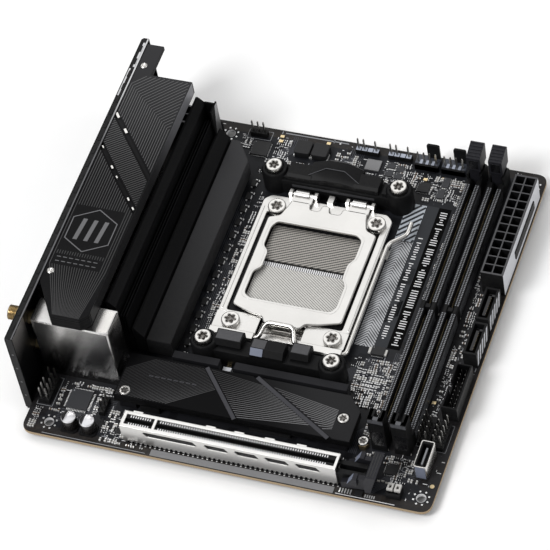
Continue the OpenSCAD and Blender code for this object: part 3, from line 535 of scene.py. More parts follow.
CUBE = np.array([[0, 0, 0], [1, 0, 0], [1, 1, 0], [0, 1, 0],
                 [0, 0, 1], [1, 0, 1], [1, 1, 1], [0, 1, 1]], float)
CUBE_SIDES = np.array([[0, 3, 2, 1], [4, 5, 6, 7], [0, 1, 5, 4],
                       [1, 2, 6, 5], [2, 3, 7, 6], [3, 0, 4, 7]])


class Shape:
    """A growing mesh in board millimetres with one paint per face."""

    def __init__(self) -> None:
        """Start with no faces."""
        self.points: list[np.ndarray] = []
        self.sides: list[np.ndarray] = []
        self.paints: list[Paint] = []
        self.total = 0

    def add(self, points: np.ndarray, sides: list, paint: Paint) -> None:
        """Add vertices and the faces between them.

        Args:
            points: Vertices, one row each.
            sides: Vertex numbers of each face.
            paint: Finish of the new faces.
        """
        self.points.append(np.asarray(points, float))
        self.sides.extend([np.asarray(s) + self.total for s in sides])
        self.paints.extend([paint] * len(sides))
        self.total += len(points)

    def boxes(self, lows, sizes, paint: Paint, turns=None) -> None:
        """Add many boxes at once.

        Args:
            lows: Lowest corner of each box.
            sizes: Size of each box, or one size for all.
            paint: Finish.
            turns: Turn about each box's middle in degrees, none when left out.
        """
        lows = np.atleast_2d(np.asarray(lows, float))
        sizes = np.broadcast_to(np.atleast_2d(np.asarray(sizes, float)), lows.shape)
        points = lows[:, None, :] + CUBE[None] * sizes[:, None, :]
        if turns is not None:
            angle = np.radians(np.broadcast_to(np.asarray(turns, float), len(lows)))
            middle = (lows + sizes / 2)[:, None, :2]
            flat = points[:, :, :2] - middle
            c, s = np.cos(angle)[:, None], np.sin(angle)[:, None]
            turned = np.stack([flat[..., 0] * c - flat[..., 1] * s,
                               flat[..., 0] * s + flat[..., 1] * c], axis=-1)
            points[:, :, :2] = turned + middle
        sides = (np.arange(len(lows)) * 8)[:, None, None] + CUBE_SIDES[None]
        self.add(points.reshape(-1, 3), list(sides.reshape(-1, 4)), paint)

    def box(self, low: Triple, size: Triple, paint: Paint) -> None:
        """Add one box.

        Args:
            low: Lowest corner.
            size: Size.
            paint: Finish.
        """
        self.boxes([low], [size], paint)

    def bars(self, starts, ends, width: float, low: float, high: float, paint: Paint) -> None:
        """Add flat bars between pairs of places on the board.

        Args:
            starts: X and Y of each start.
            ends: X and Y of each end.
            width: Width of a bar.
            low: Underside.
            high: Top.
            paint: Finish.
        """
        starts = np.atleast_2d(np.asarray(starts, float))
        ends = np.atleast_2d(np.asarray(ends, float))
        run = ends - starts
        length = np.linalg.norm(run, axis=1)
        middle = (starts + ends) / 2
        size = spread(length, width, high - low)
        place = spread(middle - size[:, :2] / 2, low)
        self.boxes(place, size, paint, np.degrees(np.arctan2(run[:, 1], run[:, 0])))

    def path(self, points: list[Pair], width: float, low: float, high: float, paint: Paint) -> None:
        """Add flat bars along a broken line.

        Args:
            points: X and Y of each corner.
            width: Width of the line.
            low: Underside.
            high: Top.
            paint: Finish.
        """
        line = np.asarray(points, float)
        self.bars(line[:-1], line[1:], width, low, high, paint)

    def prism(self, outline, low: float, high: float, paint: Paint, axis: Axis = Axis.Z) -> None:
        """Push an outline along an axis.

        Args:
            outline: Corners: X and Y for Z, Y and Z for X, X and Z for Y.
            low: Start along the axis.
            high: End along the axis.
            paint: Finish.
            axis: The axis.
        """
        ring = np.asarray(outline, float)
        self.loft([spread(ring, level)[:, axis.value] for level in (low, high)], paint)

    def loft(self, rings: list, paint: Paint) -> None:
        """Join a row of equal rings and close both ends.

        Args:
            rings: Rings of places, each with the same count.
            paint: Finish.
        """
        n = len(rings[0])
        points = np.vstack(rings)
        i = np.arange(n)
        j = (i + 1) % n
        sides = [i[::-1], i + n * (len(rings) - 1)]
        for k in range(len(rings) - 1):
            sides.extend(np.column_stack([i, j, j + n, i + n]) + k * n)
        self.add(points, sides, paint)

    def turned(self, centre: Triple, profile: list[Pair], paint: Paint, count: int = 32,
               axis: Axis = Axis.Z) -> None:
        """Turn a profile about an axis.

        Args:
            centre: Start of the axis.
            profile: Radius and height along the axis at each step.
            paint: Finish.
            count: Sides.
            axis: The axis.
        """
        a = np.linspace(0, 2 * math.pi, count, endpoint=False)
        rings = []
        for radius, height in profile:
            ring = spread(radius * np.cos(a), radius * np.sin(a), height)
            rings.append(ring[:, axis.value] + np.asarray(centre))
        self.loft(rings, paint)

    def plate(self, outline, low: float, high: float, paint: Paint, holes: tuple = (),
              edge: float = 0.15) -> None:
        """Add a flat plate with holes and softly rounded rims.

        Args:
            outline: X and Y of each corner.
            low: Underside.
            high: Top.
            paint: Finish.
            holes: Outline of each hole.
            edge: Radius of the rims.
        """
        curve = bpy.data.curves.new("outline", "CURVE")
        curve.dimensions = "2D"
        curve.fill_mode = "BOTH"
        curve.extrude = (high - low) / 2 - edge
        curve.bevel_depth = edge
        curve.bevel_resolution = 1
        curve.offset = -edge
        for ring in (outline, *holes):
            line = curve.splines.new("POLY")
            line.use_cyclic_u = True
            line.points.add(len(ring) - 1)
            line.points.foreach_set("co", spread(np.asarray(ring, float), 0.0, 1.0).ravel())
        holder = bpy.data.objects.new("outline", curve)
        mesh = bpy.data.meshes.new_from_object(holder)
        points = np.empty(len(mesh.vertices) * 3)
        mesh.vertices.foreach_get("co", points)
        points = points.reshape(-1, 3) + (0, 0, (low + high) / 2)
        self.add(points, [np.array(p.vertices[:]) for p in mesh.polygons], paint)
        bpy.data.objects.remove(holder)
        bpy.data.curves.remove(curve)
        bpy.data.meshes.remove(mesh)

    def stand(self, flat: "Shape", axis: Axis, paint: Paint, shift: float = 0.0) -> None:
        """Add a flat shape turned upright.

        Args:
            flat: The shape, drawn lying down.
            axis: Direction its height takes.
            paint: Finish.
            shift: Distance along that direction.
        """
        turned = np.vstack(flat.points)[:, axis.value]
        turned[:, axis.value.index(2)] += shift
        self.add(turned, flat.sides, paint)

    def star_screw(self, x: float, y: float, z: float, radius: float, tall: float) -> None:
        """Add a screw head with a six-armed recess.

        Args:
            x: Centre along X.
            y: Centre along Y.
            z: Underside.
            radius: Radius of the head.
            tall: Height of the head.
        """
        a = np.radians(np.arange(0, 360, 7.5))
        arm = radius * (0.46 + 0.13 * np.cos(6 * a))
        star = spread(x + arm * np.cos(a), y + arm * np.sin(a))
        self.plate(circle(x, y, radius, 36), z, z + tall, Paint.STEEL, (star,), edge=min(0.45, tall / 3))
        self.plate(star, z + 0.02, z + tall * 0.45, Paint.DARK_STEEL, edge=0.02)
        pin = [(radius * 0.2, 0), (radius * 0.2, tall * 0.8), (radius * 0.12, tall * 0.86)]
        self.turned((x, y, z), pin, Paint.DARK_STEEL, 14)

    def wire(self, points: list[Triple], radius: float, paint: Paint, sides: int = 16) -> None:
        """Add a round wire along a smooth line of places.

        Args:
            points: Places along the middle.
            radius: Radius of the wire.
            paint: Finish.
            sides: Sides of the section.
        """
        line = np.asarray(points, float)
        run = np.gradient(line, axis=0)
        run /= np.linalg.norm(run, axis=1)[:, None]
        side = np.zeros_like(line)
        side[0] = np.cross(run[0], (0.13, 0.31, 0.94))
        for k in range(1, len(line)):
            side[k] = side[k - 1] - run[k] * np.dot(side[k - 1], run[k])
        side /= np.linalg.norm(side, axis=1)[:, None]
        other = np.cross(run, side)
        a = np.linspace(0, 2 * math.pi, sides, endpoint=False)[None, :, None]
        rings = line[:, None] + radius * (np.cos(a) * side[:, None] + np.sin(a) * other[:, None])
        self.loft(list(rings), paint)


def spread(*parts) -> np.ndarray:
    """Stack columns side by side, stretching single numbers to the length of the rest.

    Args:
        parts: Numbers, rows of numbers or arrays of whole columns.

    Returns:
        One row for each entry of the longest part.
    """
    count = max(len(part) for part in parts if np.ndim(part))
    return np.column_stack([part if np.ndim(part) else np.full(count, part) for part in parts])


def grid(x: float, y: float, nx: int, ny: int, pitch: float) -> np.ndarray:
    """Give the places of a regular grid, Y changing fastest.

    Args:
        x: First place along X.
        y: First place along Y.
        nx: Places along X.
        ny: Places along Y.
        pitch: Distance between places.

    Returns:
        X and Y of each place.
    """
    i, j = np.divmod(np.arange(nx * ny), ny)
    return spread(x + i * pitch, y + j * pitch)


def circle(x: float, y: float, radius: float, count: int = 32, start: float = 0.0) -> np.ndarray:
    """Give the corners of a circle.

    Args:
        x: Centre along X.
        y: Centre along Y.
        radius: Radius.
        count: Corners.
        start: Angle of the first corner in degrees.

    Returns:
        X and Y of each corner.
    """
    a = np.linspace(0, 2 * math.pi, count, endpoint=False) + math.radians(start)
    return spread(x + radius * np.cos(a), y + radius * np.sin(a))


def rounded(corners, radius: float, steps: int = 5) -> np.ndarray:
    """Round an outline's corners with short arcs.

    Args:
        corners: X and Y of each corner.
        radius: Length cut back from each corner, no more than 45% of a side.
        steps: Points per corner.

    Returns:
        The rounded outline. Each corner is the curve that starts and ends on
        its sides and leans towards the old corner.
    """
    ring = np.asarray(corners, float)
    before = np.roll(ring, 1, axis=0) - ring
    after = np.roll(ring, -1, axis=0) - ring
    la = np.linalg.norm(before, axis=1, keepdims=True)
    lb = np.linalg.norm(after, axis=1, keepdims=True)
    first = ring + before / la * np.minimum(radius, la * 0.45)
    last = ring + after / lb * np.minimum(radius, lb * 0.45)
    t = np.linspace(0, 1, steps)[None, :, None]
    curve = (1 - t) ** 2 * first[:, None] + 2 * t * (1 - t) * ring[:, None] + t**2 * last[:, None]
    return curve.reshape(-1, 2)


def soft_path(points: list[Triple], radius: float, steps: int = 6) -> np.ndarray:
    """Round the bends of an open line.

    Args:
        points: Corners of the line.
        radius: Length cut back at each bend.
        steps: Points per bend.

    Returns:
        Places along the smoothed line.
    """
    line = np.asarray(points, float)
    out = [line[0]]
    t = np.linspace(0, 1, steps)[:, None]
    for i in range(1, len(line) - 1):
        a, b = line[i - 1] - line[i], line[i + 1] - line[i]
        la, lb = np.linalg.norm(a), np.linalg.norm(b)
        first = line[i] + a / la * min(radius, la * 0.45)
        last = line[i] + b / lb * min(radius, lb * 0.45)
        out.extend((1 - t) ** 2 * first + 2 * t * (1 - t) * line[i] + t**2 * last)
    out.append(line[-1])
    return np.asarray(out)


def rectangle(x: float, y: float, w: float, h: float) -> list[Pair]:
    """Give the corners of a rectangle.

    Args:
        x: Low side along X.
        y: Low side along Y.
        w: Size along X.
        h: Size along Y.

    Returns:
        X and Y of each corner.
    """
    return [(x, y), (x + w, y), (x + w, y + h), (x, y + h)]


class Workshop:
    """Turns shapes in board millimetres into finished scene pieces."""

    def __init__(self) -> None:
        """Read the board's place from the CAD frame."""
        low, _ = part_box("pcb")
        self.shift = np.array([low[0], low[1], 0.0])

    def make(self, name: str, shape: Shape, body: Body = Body.BOARD, replaces: tuple = (),
             slot: str = "", bevel: float = 0.0, smooth: float = 35.0) -> bpy.types.Object:
        """Make an object from a shape and tie it to the frame.

        Args:
            name: Name of the piece.
            shape: The shape.
            body: Rigid body it moves with.
            replaces: CAD nodes it stands for.
            slot: Not used.
            bevel: Width in millimetres of the softened edges, 0 for none.
            smooth: Edges flatter than this many degrees are smooth.

        Returns:
            The finished object.
        """
        points = np.vstack(shape.points) * MM + self.shift
        mesh = bpy.data.meshes.new(name)
        mesh.from_pydata(points.tolist(), [], [s.tolist() for s in shape.sides])
        kinds = list(dict.fromkeys(shape.paints))
        for paint in kinds:
            mesh.materials.append(paint.material())
        index = {paint: i for i, paint in enumerate(kinds)}
        mesh.polygons.foreach_set("material_index", [index[p] for p in shape.paints])
        mesh.update()
        made = bpy.data.objects.new(name, mesh)
        bpy.context.scene.collection.objects.link(made)
        self.outwards(made)
        mesh.shade_smooth()
        mesh.set_sharp_from_angle(angle=math.radians(smooth))
        if bevel > 0:
            soft = made.modifiers.new("soft_edges", "BEVEL")
            soft.width = bevel * MM
            soft.segments = 2
            soft.limit_method = "ANGLE"
            soft.angle_limit = math.radians(SOFTENED)
            soft.use_clamp_overlap = True
            soft.harden_normals = True
        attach(made, body.value)
        if replaces:
            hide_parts(*replaces)
        return made

    @staticmethod
    def outwards(made: bpy.types.Object) -> None:
        """Turn every closed shell's faces outwards.

        Args:
            made: The object.
        """
        work = bmesh.new()
        work.from_mesh(made.data)
        bmesh.ops.recalc_face_normals(work, faces=work.faces[:])
        work.to_mesh(made.data)
        work.free()


class Assembly(Generic[Sizes]):
    """A group of pieces that share one workshop and one set of sizes."""

    def __init__(self, shop: Workshop, size: Sizes) -> None:
        """Keep the tools and sizes.

        Args:
            shop: Workshop that makes the pieces.
            size: Sizes of the group.
        """
        self.shop = shop
        self.size = size


# ---- Board and its small parts ----


@dataclass(frozen=True)
class BoardSize:
    """Sizes of the bare board in millimetres."""

    side: float = 170.18
    thick: float = 1.57
    corner: float = 5.0
    hole: float = 1.98
    holes: tuple = ((10.16, 6.35), (165.1, 6.35), (33.02, 163.83), (165.1, 163.83))
    socket: Pair = (88.3, 97.2)


class Board(Assembly[BoardSize]):
    """The board with its print, copper runs and surface parts."""

    def __init__(self, shop: Workshop, size: BoardSize) -> None:
        """Keep the tools and sizes, and start the seeded draws.

        Args:
            shop: Workshop that makes the pieces.
            size: Board sizes.
        """
        super().__init__(shop, size)
        self.dice = np.random.default_rng(SEED)
        self.kept: list[tuple[float, float, float, float]] = []

    def build(self) -> None:
        """Build the board, its print and its surface parts."""
        self.laminate()
        self.keep_clear()
        self.copper()
        self.print_marks()
        self.surface_parts()
        self.chips()

    def laminate(self) -> None:
        """Build the bare board with its holes."""
        z = self.size
        corners = rounded(rectangle(0, 0, z.side, z.side), z.corner, 8)
        sx, sy = z.socket
        holes = [circle(x, y, z.hole) for x, y in z.holes]
        for (dx, dy), radius in ((SocketSize.clip, 2.2), (SocketSize.screw, 2.0)):
            holes += [circle(sx + a, sy + b, radius) for a in (-dx, dx) for b in (-dy, dy)]
        holes += [circle(44, 50.4, 1.6), circle(44, 142.0, 1.6)]
        shape = Shape()
        shape.plate(corners, 0, z.thick, Paint.BOARD, tuple(holes), edge=0.08)
        self.shop.make("board_laminate", shape, replaces=("pcb",), slot="board_laminate")

    def keep_clear(self) -> None:
        """Note the footprints that surface parts stay out of."""
        nodes = ("io_cover", "vrm_heatsink", "wifi_can", "socket_frame", "bracket_top",
                 "bracket_bottom", "dimm_slot_a", "dimm_slot_b", "pcie_slot", "pcie_latch",
                 "m2_heatsink", "atx_connector", "usb3_header", "front_usb_c",
                 "battery_connector", "audio_jacks", "eps_connector", "m2_standoff")
        for node in nodes:
            low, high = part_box(node)
            a = (np.array(low)[:2] - self.shop.shift[:2]) / MM
            b = (np.array(high)[:2] - self.shop.shift[:2]) / MM
            self.kept.append((a[0] - 0.6, a[1] - 0.6, b[0] + 0.6, b[1] + 0.6))
        self.kept += [(x - 4.2, y - 4.2, x + 4.2, y + 4.2) for x, y in self.size.holes]
        self.kept += [(163, 69.5, 170.2, 105), (41, 163.5, 50, 168), (87, 163.8, 114, 168),
                      (114, 161, 137.5, 168.4), (2, 13.5, 8.4, 28), (16, 3, 31.5, 10),
                      (13, 13, 24.4, 24.4), (156.6, 29, 168, 43), (28, 13, 32, 23),
                      (51, 42, 125, 46.6), (62, 155, 78.5, 167), (44, 154, 53, 163),
                      (117.0, 66, 136.6, 145), (54, 0, 132, 4.5), (94, 156.4, 101, 163),
                      (49.6, 45, 54.2, 145), (88.0, 168.0, 114, 169)]

    def free(self, places: np.ndarray, room: float) -> np.ndarray:
        """Tell which places are clear of everything that stands on the board.

        Args:
            places: X and Y of each place.
            room: Half of the part's largest side.

        Returns:
            True for each free place.
        """
        inside = np.all((places > 1.2 + room) & (places < self.size.side - 1.2 - room), axis=1)
        for x0, y0, x1, y1 in self.kept:
            hit = ((places[:, 0] > x0 - room) & (places[:, 0] < x1 + room)
                   & (places[:, 1] > y0 - room) & (places[:, 1] < y1 + room))
            inside &= ~hit
        return inside

    def copper(self) -> None:
        """Draw bundles of copper runs and the via dots between them."""
        shape = Shape()
        bundles = [((118.5, 76), (1, 0), (128.5, 88), 10, 0.8), ((118, 96), (1, 0), (131, 104), 12, 0.7),
                   ((57, 62), (0, 1), (53, 132), 9, 0.75), ((104, 48), (1, 0), (138, 58), 10, 0.8),
                   ((60, 152), (0, 1), (66, 168), 8, 0.8), ((84, 150), (0, 1), (92, 167), 8, 0.8),
                   ((135, 46), (0, 1), (139, 70), 6, 0.7), ((12, 8), (1, 0), (34, 16), 8, 0.8),
                   ((134, 20), (0, 1), (138, 44), 5, 0.7), ((140, 4), (1, 0), (160, 12), 8, 0.8)]
        for start, way, end, count, pitch in bundles:
            self.bundle(shape, start, way, end, count, pitch)
        places = self.dice.uniform(2, 168, (1500, 2))
        places = places[self.free(places, 0.4)]
        size = np.array([0.34, 0.34, 0.02])
        shape.boxes(spread(places, TOP), size, Paint.TRACE)
        self.shop.make("copper_runs", shape, slot="board_laminate")

    @staticmethod
    def bundle(shape: Shape, start: Pair, way: Pair, end: Pair, count: int, pitch: float) -> None:
        """Draw one bundle of runs: straight, a slant, then straight again.

        Args:
            shape: Shape that takes the runs.
            start: First place of the first run.
            way: Direction of the straight stretches.
            end: Last place of the first run.
            count: Number of runs.
            pitch: Distance between runs.
        """
        a, b, w = np.array(start, float), np.array(end, float), np.array(way, float)
        side = np.array([-w[1], w[0]])
        offset = np.arange(count)[:, None] * pitch * side
        along = np.dot(b - a, w)
        slant = np.dot(b - a, side)
        first = a + w * max(0.0, (along - abs(slant)) / 2) + offset
        second = first + w * abs(slant) + side * slant
        for p, q in ((a + offset, first), (first, second), (second, b + offset)):
            if np.linalg.norm(q - p) > 0:
                shape.bars(p, q, pitch * 0.42, TOP, TOP + 0.02, Paint.TRACE)

    def print_marks(self) -> None:
        """Print plain bands, stripes, outlines and ticks, and set the parts at the edge."""
        shape = Shape()
        high = TOP + PRINT
        for x, y, w, h, t, paint in (
                (131.0, 71.4, 5.25, 72.9, PRINT, Paint.LABEL), (125.8, 70.6, 5.0, 73.8, 0.02, Paint.BAND),
                (117.6, 70.4, 8.0, 54.0, PRINT, Paint.HATCH),
                (117.6, 124.8, 8.0, 19.4, PRINT, Paint.SILK_BLUE)):
            shape.box((x, y, TOP), (w, h, t), paint)
        offset = np.arange(-7.0, 19.0, 2.9)
        low = spread(117.6, 124.9 + np.maximum(offset, 0.0))
        low[:, 0] += np.maximum(-offset, 0.0)
        reach = np.minimum(125.5 - low[:, 0], 144.1 - low[:, 1])
        shape.bars(low, low + reach[:, None], 1.0, TOP + 0.01, high + 0.01, Paint.BAND)
        for x, wide, first, count in ((132.2, 2.9, 73.4, 58), (127.0, 1.9, 75.6, 44)):
            places = np.delete(first + np.arange(count) * 1.2, np.arange(6, count, 9))
            long = self.dice.choice([0.45, 1.0, 1.0], len(places)) * wide
            low = spread(x + (wide - long) / 2, places, high)
            thin = np.full(len(places), 0.42)
            shape.boxes(low, spread(long, thin, thin * PRINT), Paint.SILK)
        for x, y, w, h, t, paint in (
                (55.0, 0.5, 76.0, 2.9, PRINT, Paint.PATCH), (56, 168.6, 28, 0.5, PRINT, Paint.SILK_GREY),
                (132.0, 0.7, 24.0, 0.3, PRINT, Paint.SILK), (9.0, 0.8, 44.0, 0.3, PRINT, Paint.SILK_GREY),
                (139.6, 1.3, 3.0, 2.6, 0.9, Paint.CHIP)):
            shape.box((x, y, TOP), (w, h, t), paint)
        tabs = np.arange(5)
        shape.boxes(spread(133.2 + tabs * 1.1, 1.5, TOP), (0.5, 2.0, 0.5), Paint.SOLDER)
        shape.boxes(spread(143.6 + tabs * 0.9, 1.5, TOP), (0.45, 1.2, 0.4), Paint.SOLDER)
        shape.boxes([(146.2, 9.6, TOP), (147.8, 9.9, TOP), (149.6, 9.4, TOP)], (1.1, 0.7, 0.5),
                    Paint.CERAMIC_PALE)
        for share, count, paint in ((0.26, 2900, Paint.SILK), (0.34, 2200, Paint.SILK_GREY)):
            places = self.dice.uniform(1.5, 168.5, (count, 2))
            places = places[self.free(places, 0.7)]
            long = self.dice.uniform(0.5, 1.9, len(places))
            turned = self.dice.integers(0, 2, len(places)).astype(bool)
            size = spread(np.where(turned, share, long), np.where(turned, long, share), PRINT)
            shape.boxes(spread(places, TOP), size, paint)
        for x, y, w, h in ((40.4, 163.4, 10.4, 4.6), (2, 13.6, 6.6, 14), (156, 29.2, 5.8, 13),
                           (162.2, 28.4, 6, 13)):
            shape.path([(x, y), (x + w, y), (x + w, y + h), (x, y + h), (x, y)], 0.2, TOP, high,
                       Paint.SILK_GREY)
        self.pads(shape)
        self.shop.make("board_print", shape, slot="board_laminate")

    def pads(self, shape: Shape) -> None:
        """Add bright sleeves in the mounting holes, pads round them, pale posts and gold pads.

        Args:
            shape: Shape that takes them.
        """
        for x, y in self.size.holes:
            pads = circle(x, y, 3.1, 8, 22.5)
            # A bright sleeve lines each mounting hole: the plating, painted pale enough to stand in for the
            # lit floor seen through the hole.
            shape.plate(circle(x, y, 1.975, 36), 0.05, TOP + 0.02, Paint.SILK,
                        (circle(x, y, 1.9, 36),), edge=0.01)
            centre = spread(pads - 0.35, TOP)
            shape.boxes(centre, (0.7, 0.7, 0.04), Paint.SOLDER, np.arange(8) * 45.0)
        for x, y in ((145.8, 24.7), (155.2, 24.6), (146.0, 92.0), (155.1, 92.0)):
            shape.turned((x, y, TOP), [(0.55, 0), (0.55, 0.4), (0.4, 0.5)], Paint.PALE, 14)
        for x, y in ((54.4, 165.9), (54.6, 163.4), (74.8, 166.4), (98.6, 57.2), (127.6, 158.4),
                     (120.2, 156.6), (156.2, 49.4), (71.2, 48.0)):
            shape.box((x, y, TOP), (1.7, 1.3, 0.5), Paint.GOLD)
        shape.turned((167.7, 12.4, TOP), [(0.9, 0), (0.9, 0.1)], Paint.GOLD, 16)

    def surface_parts(self) -> None:
        """Fill the free board with chip parts, patch by patch.

        Each patch of the board has its own direction and density. Its cells
        are filled row by row, so parts of one kind stand side by side.
        """
        shape = Shape()
        patch, step = 9.6, (1.92, 1.06)
        count = int(self.size.side // patch)
        px, py = np.meshgrid(np.arange(count), np.arange(count), indexing="ij")
        turned = self.dice.random((count, count)) < 0.5
        dense = self.dice.choice([0.4, 0.58, 0.72, 0.85], (count, count))
        i, j = np.meshgrid(np.arange(5), np.arange(9), indexing="ij")
        along = (i + 0.5) * step[0]
        across = (j + 0.5) * step[1]
        flip = turned[:, :, None, None]
        x = px[:, :, None, None] * patch + np.where(flip, across, along) + 2.0
        y = py[:, :, None, None] * patch + np.where(flip, along, across) + 2.0
        places = np.stack([x, y], -1).reshape(-1, 2)
        places += self.dice.uniform(-0.14, 0.14, places.shape)
        side = np.broadcast_to(~flip, x.shape).reshape(-1)
        fill = self.dice.random(x.shape) < dense[:, :, None, None]
        kind = self.dice.choice(4, (count, count, 5), p=[0.3, 0.2, 0.32, 0.18])
        kind = np.broadcast_to(kind[..., None], x.shape).reshape(-1)
        good = self.free(places, 0.9) & fill.reshape(-1)
        kinds = ((1.0, 0.5, 0.35, Paint.CHIP), (1.45, 0.72, 0.55, Paint.CERAMIC),
                 (1.45, 0.72, 0.7, Paint.CERAMIC_PALE), (1.6, 0.8, 0.45, Paint.CHIP_GREY))
        for number, (long, wide, tall, paint) in enumerate(kinds):
            take = good & (kind == number)
            self.chiplets(shape, places[take], side[take], (long, wide, tall), paint)
        self.shop.make("surface_parts", shape, slot="chip_resin")

    @staticmethod
    def chiplets(shape: Shape, places: np.ndarray, along_x: np.ndarray, size: Triple,
                 paint: Paint) -> None:
        """Add chip parts: a body between two soldered ends.

        Args:
            shape: Shape that takes the parts.
            places: Centre of each part.
            along_x: True where the long side lies along X.
            size: Length, width and height.
            paint: Finish of the body.
        """
        long, wide, tall = size
        for share, offset, lift, finish in ((0.56, 0.0, 0.0, paint), (0.22, -0.39, 0.02, Paint.SOLDER),
                                            (0.22, 0.39, 0.02, Paint.SOLDER)):
            lx = np.where(along_x, long * share, wide)
            ly = np.where(along_x, wide, long * share)
            cx = places[:, 0] + np.where(along_x, long * offset, 0)
            cy = places[:, 1] + np.where(along_x, 0, long * offset)
            low = spread(cx - lx / 2, cy - ly / 2, TOP)
            shape.boxes(low, spread(lx, ly, tall + lift), finish)

    def chips(self) -> None:
        """Build the flat packages with their leads and pads."""
        shape = Shape()
        flat = ((44.6, 154.6, 7.4, 7.4, 0.9, 0), (103.4, 159.8, 3.4, 3, 0.8, 1),
                (107.6, 158.6, 3.4, 3, 0.8, 1), (103.6, 155.4, 3.4, 3, 0.8, 1),
                (107.8, 154.8, 3.4, 3, 0.8, 1), (119, 150.4, 5.2, 5, 0.9, 0),
                (128.6, 154.6, 3, 5, 1, 1), (128, 148.6, 3, 5, 1, 1),
                (125.6, 66.6, 5.4, 4, 1.4, 0), (38.2, 7.2, 4.4, 3.2, 0.9, 0), (147.8, 13.6, 5, 5, 0.8, 0))
        for x, y, w, h, t, grey in flat:
            shape.box((x, y, TOP + 0.05), (w, h, t - 0.05), Paint.CHIP_GREY if grey else Paint.CHIP)
            self.leads(shape, x, y, w, h, 0.5, 0.35, 0.12)
            shape.turned((x + 0.7, y + h - 0.7, TOP + t), [(0.22, 0), (0.2, 0.01)], Paint.SILK_GREY, 10)
        shape.box((94.4, 157.0, SEAT), (6.2, 5.6, 0.7), Paint.PATCH)
        shape.boxes([(124.4, 67.2, TOP), (131.0, 67.2, TOP)], (1.0, 2.8, 0.9), Paint.PALE)
        x, y = 14.2, 14.4
        shape.box((x, y, TOP + 0.1), (9, 9, 1.1), Paint.CHIP_GREY)
        self.leads(shape, x, y, 9, 9, 0.65, 1.0, 0.3)
        shape.turned((x + 1, y + 8, TOP + 1.2), [(0.35, 0), (0.33, 0.01)], Paint.SILK_GREY, 12)
        self.shop.make("flat_packages", shape, replaces=("chips",), slot="chip_resin", bevel=0.06)

    @staticmethod
    def leads(shape: Shape, x: float, y: float, w: float, h: float, pitch: float, reach: float,
              tall: float) -> None:
        """Add the leads round a flat package.

        Args:
            shape: Shape that takes the leads.
            x: Low side along X.
            y: Low side along Y.
            w: Size along X.
            h: Size along Y.
            pitch: Distance between leads.
            reach: Length outside the package.
            tall: Height of the leads.
        """
        across = np.arange(x + pitch, x + w - pitch / 2, pitch)
        along = np.arange(y + pitch, y + h - pitch / 2, pitch)
        for line, fixed, flat in ((across, y - reach, True), (across, y + h, True),
                                  (along, x - reach, False), (along, x + w, False)):
            spots = spread(line - pitch * 0.25, fixed, TOP)
            size = (pitch * 0.5, reach, tall)
            if not flat:
                spots, size = spots[:, [1, 0, 2]], (reach, pitch * 0.5, tall)
            shape.boxes(spots, size, Paint.SOLDER)


# ---- Rear ports, cover and wireless card ----


@dataclass(frozen=True)
class RearSize:
    """Sizes of the rear shield and the cover over the ports."""

    shield_low: Triple = (-3.4, 13.4, -2.8)
    shield_high: Triple = (-0.2, 173.0, 43.6)
    sheet: float = 0.6
    cover_low: float = 36.5
    cover_top: float = 43.2
    groove: float = 2.3
    grooves: tuple = (((-0.1, 132.0), (18.4, 110.5), (25.4, 102.2)),
                      ((-0.1, 115.0), (12.2, 100.0), (25.4, 84.9)))


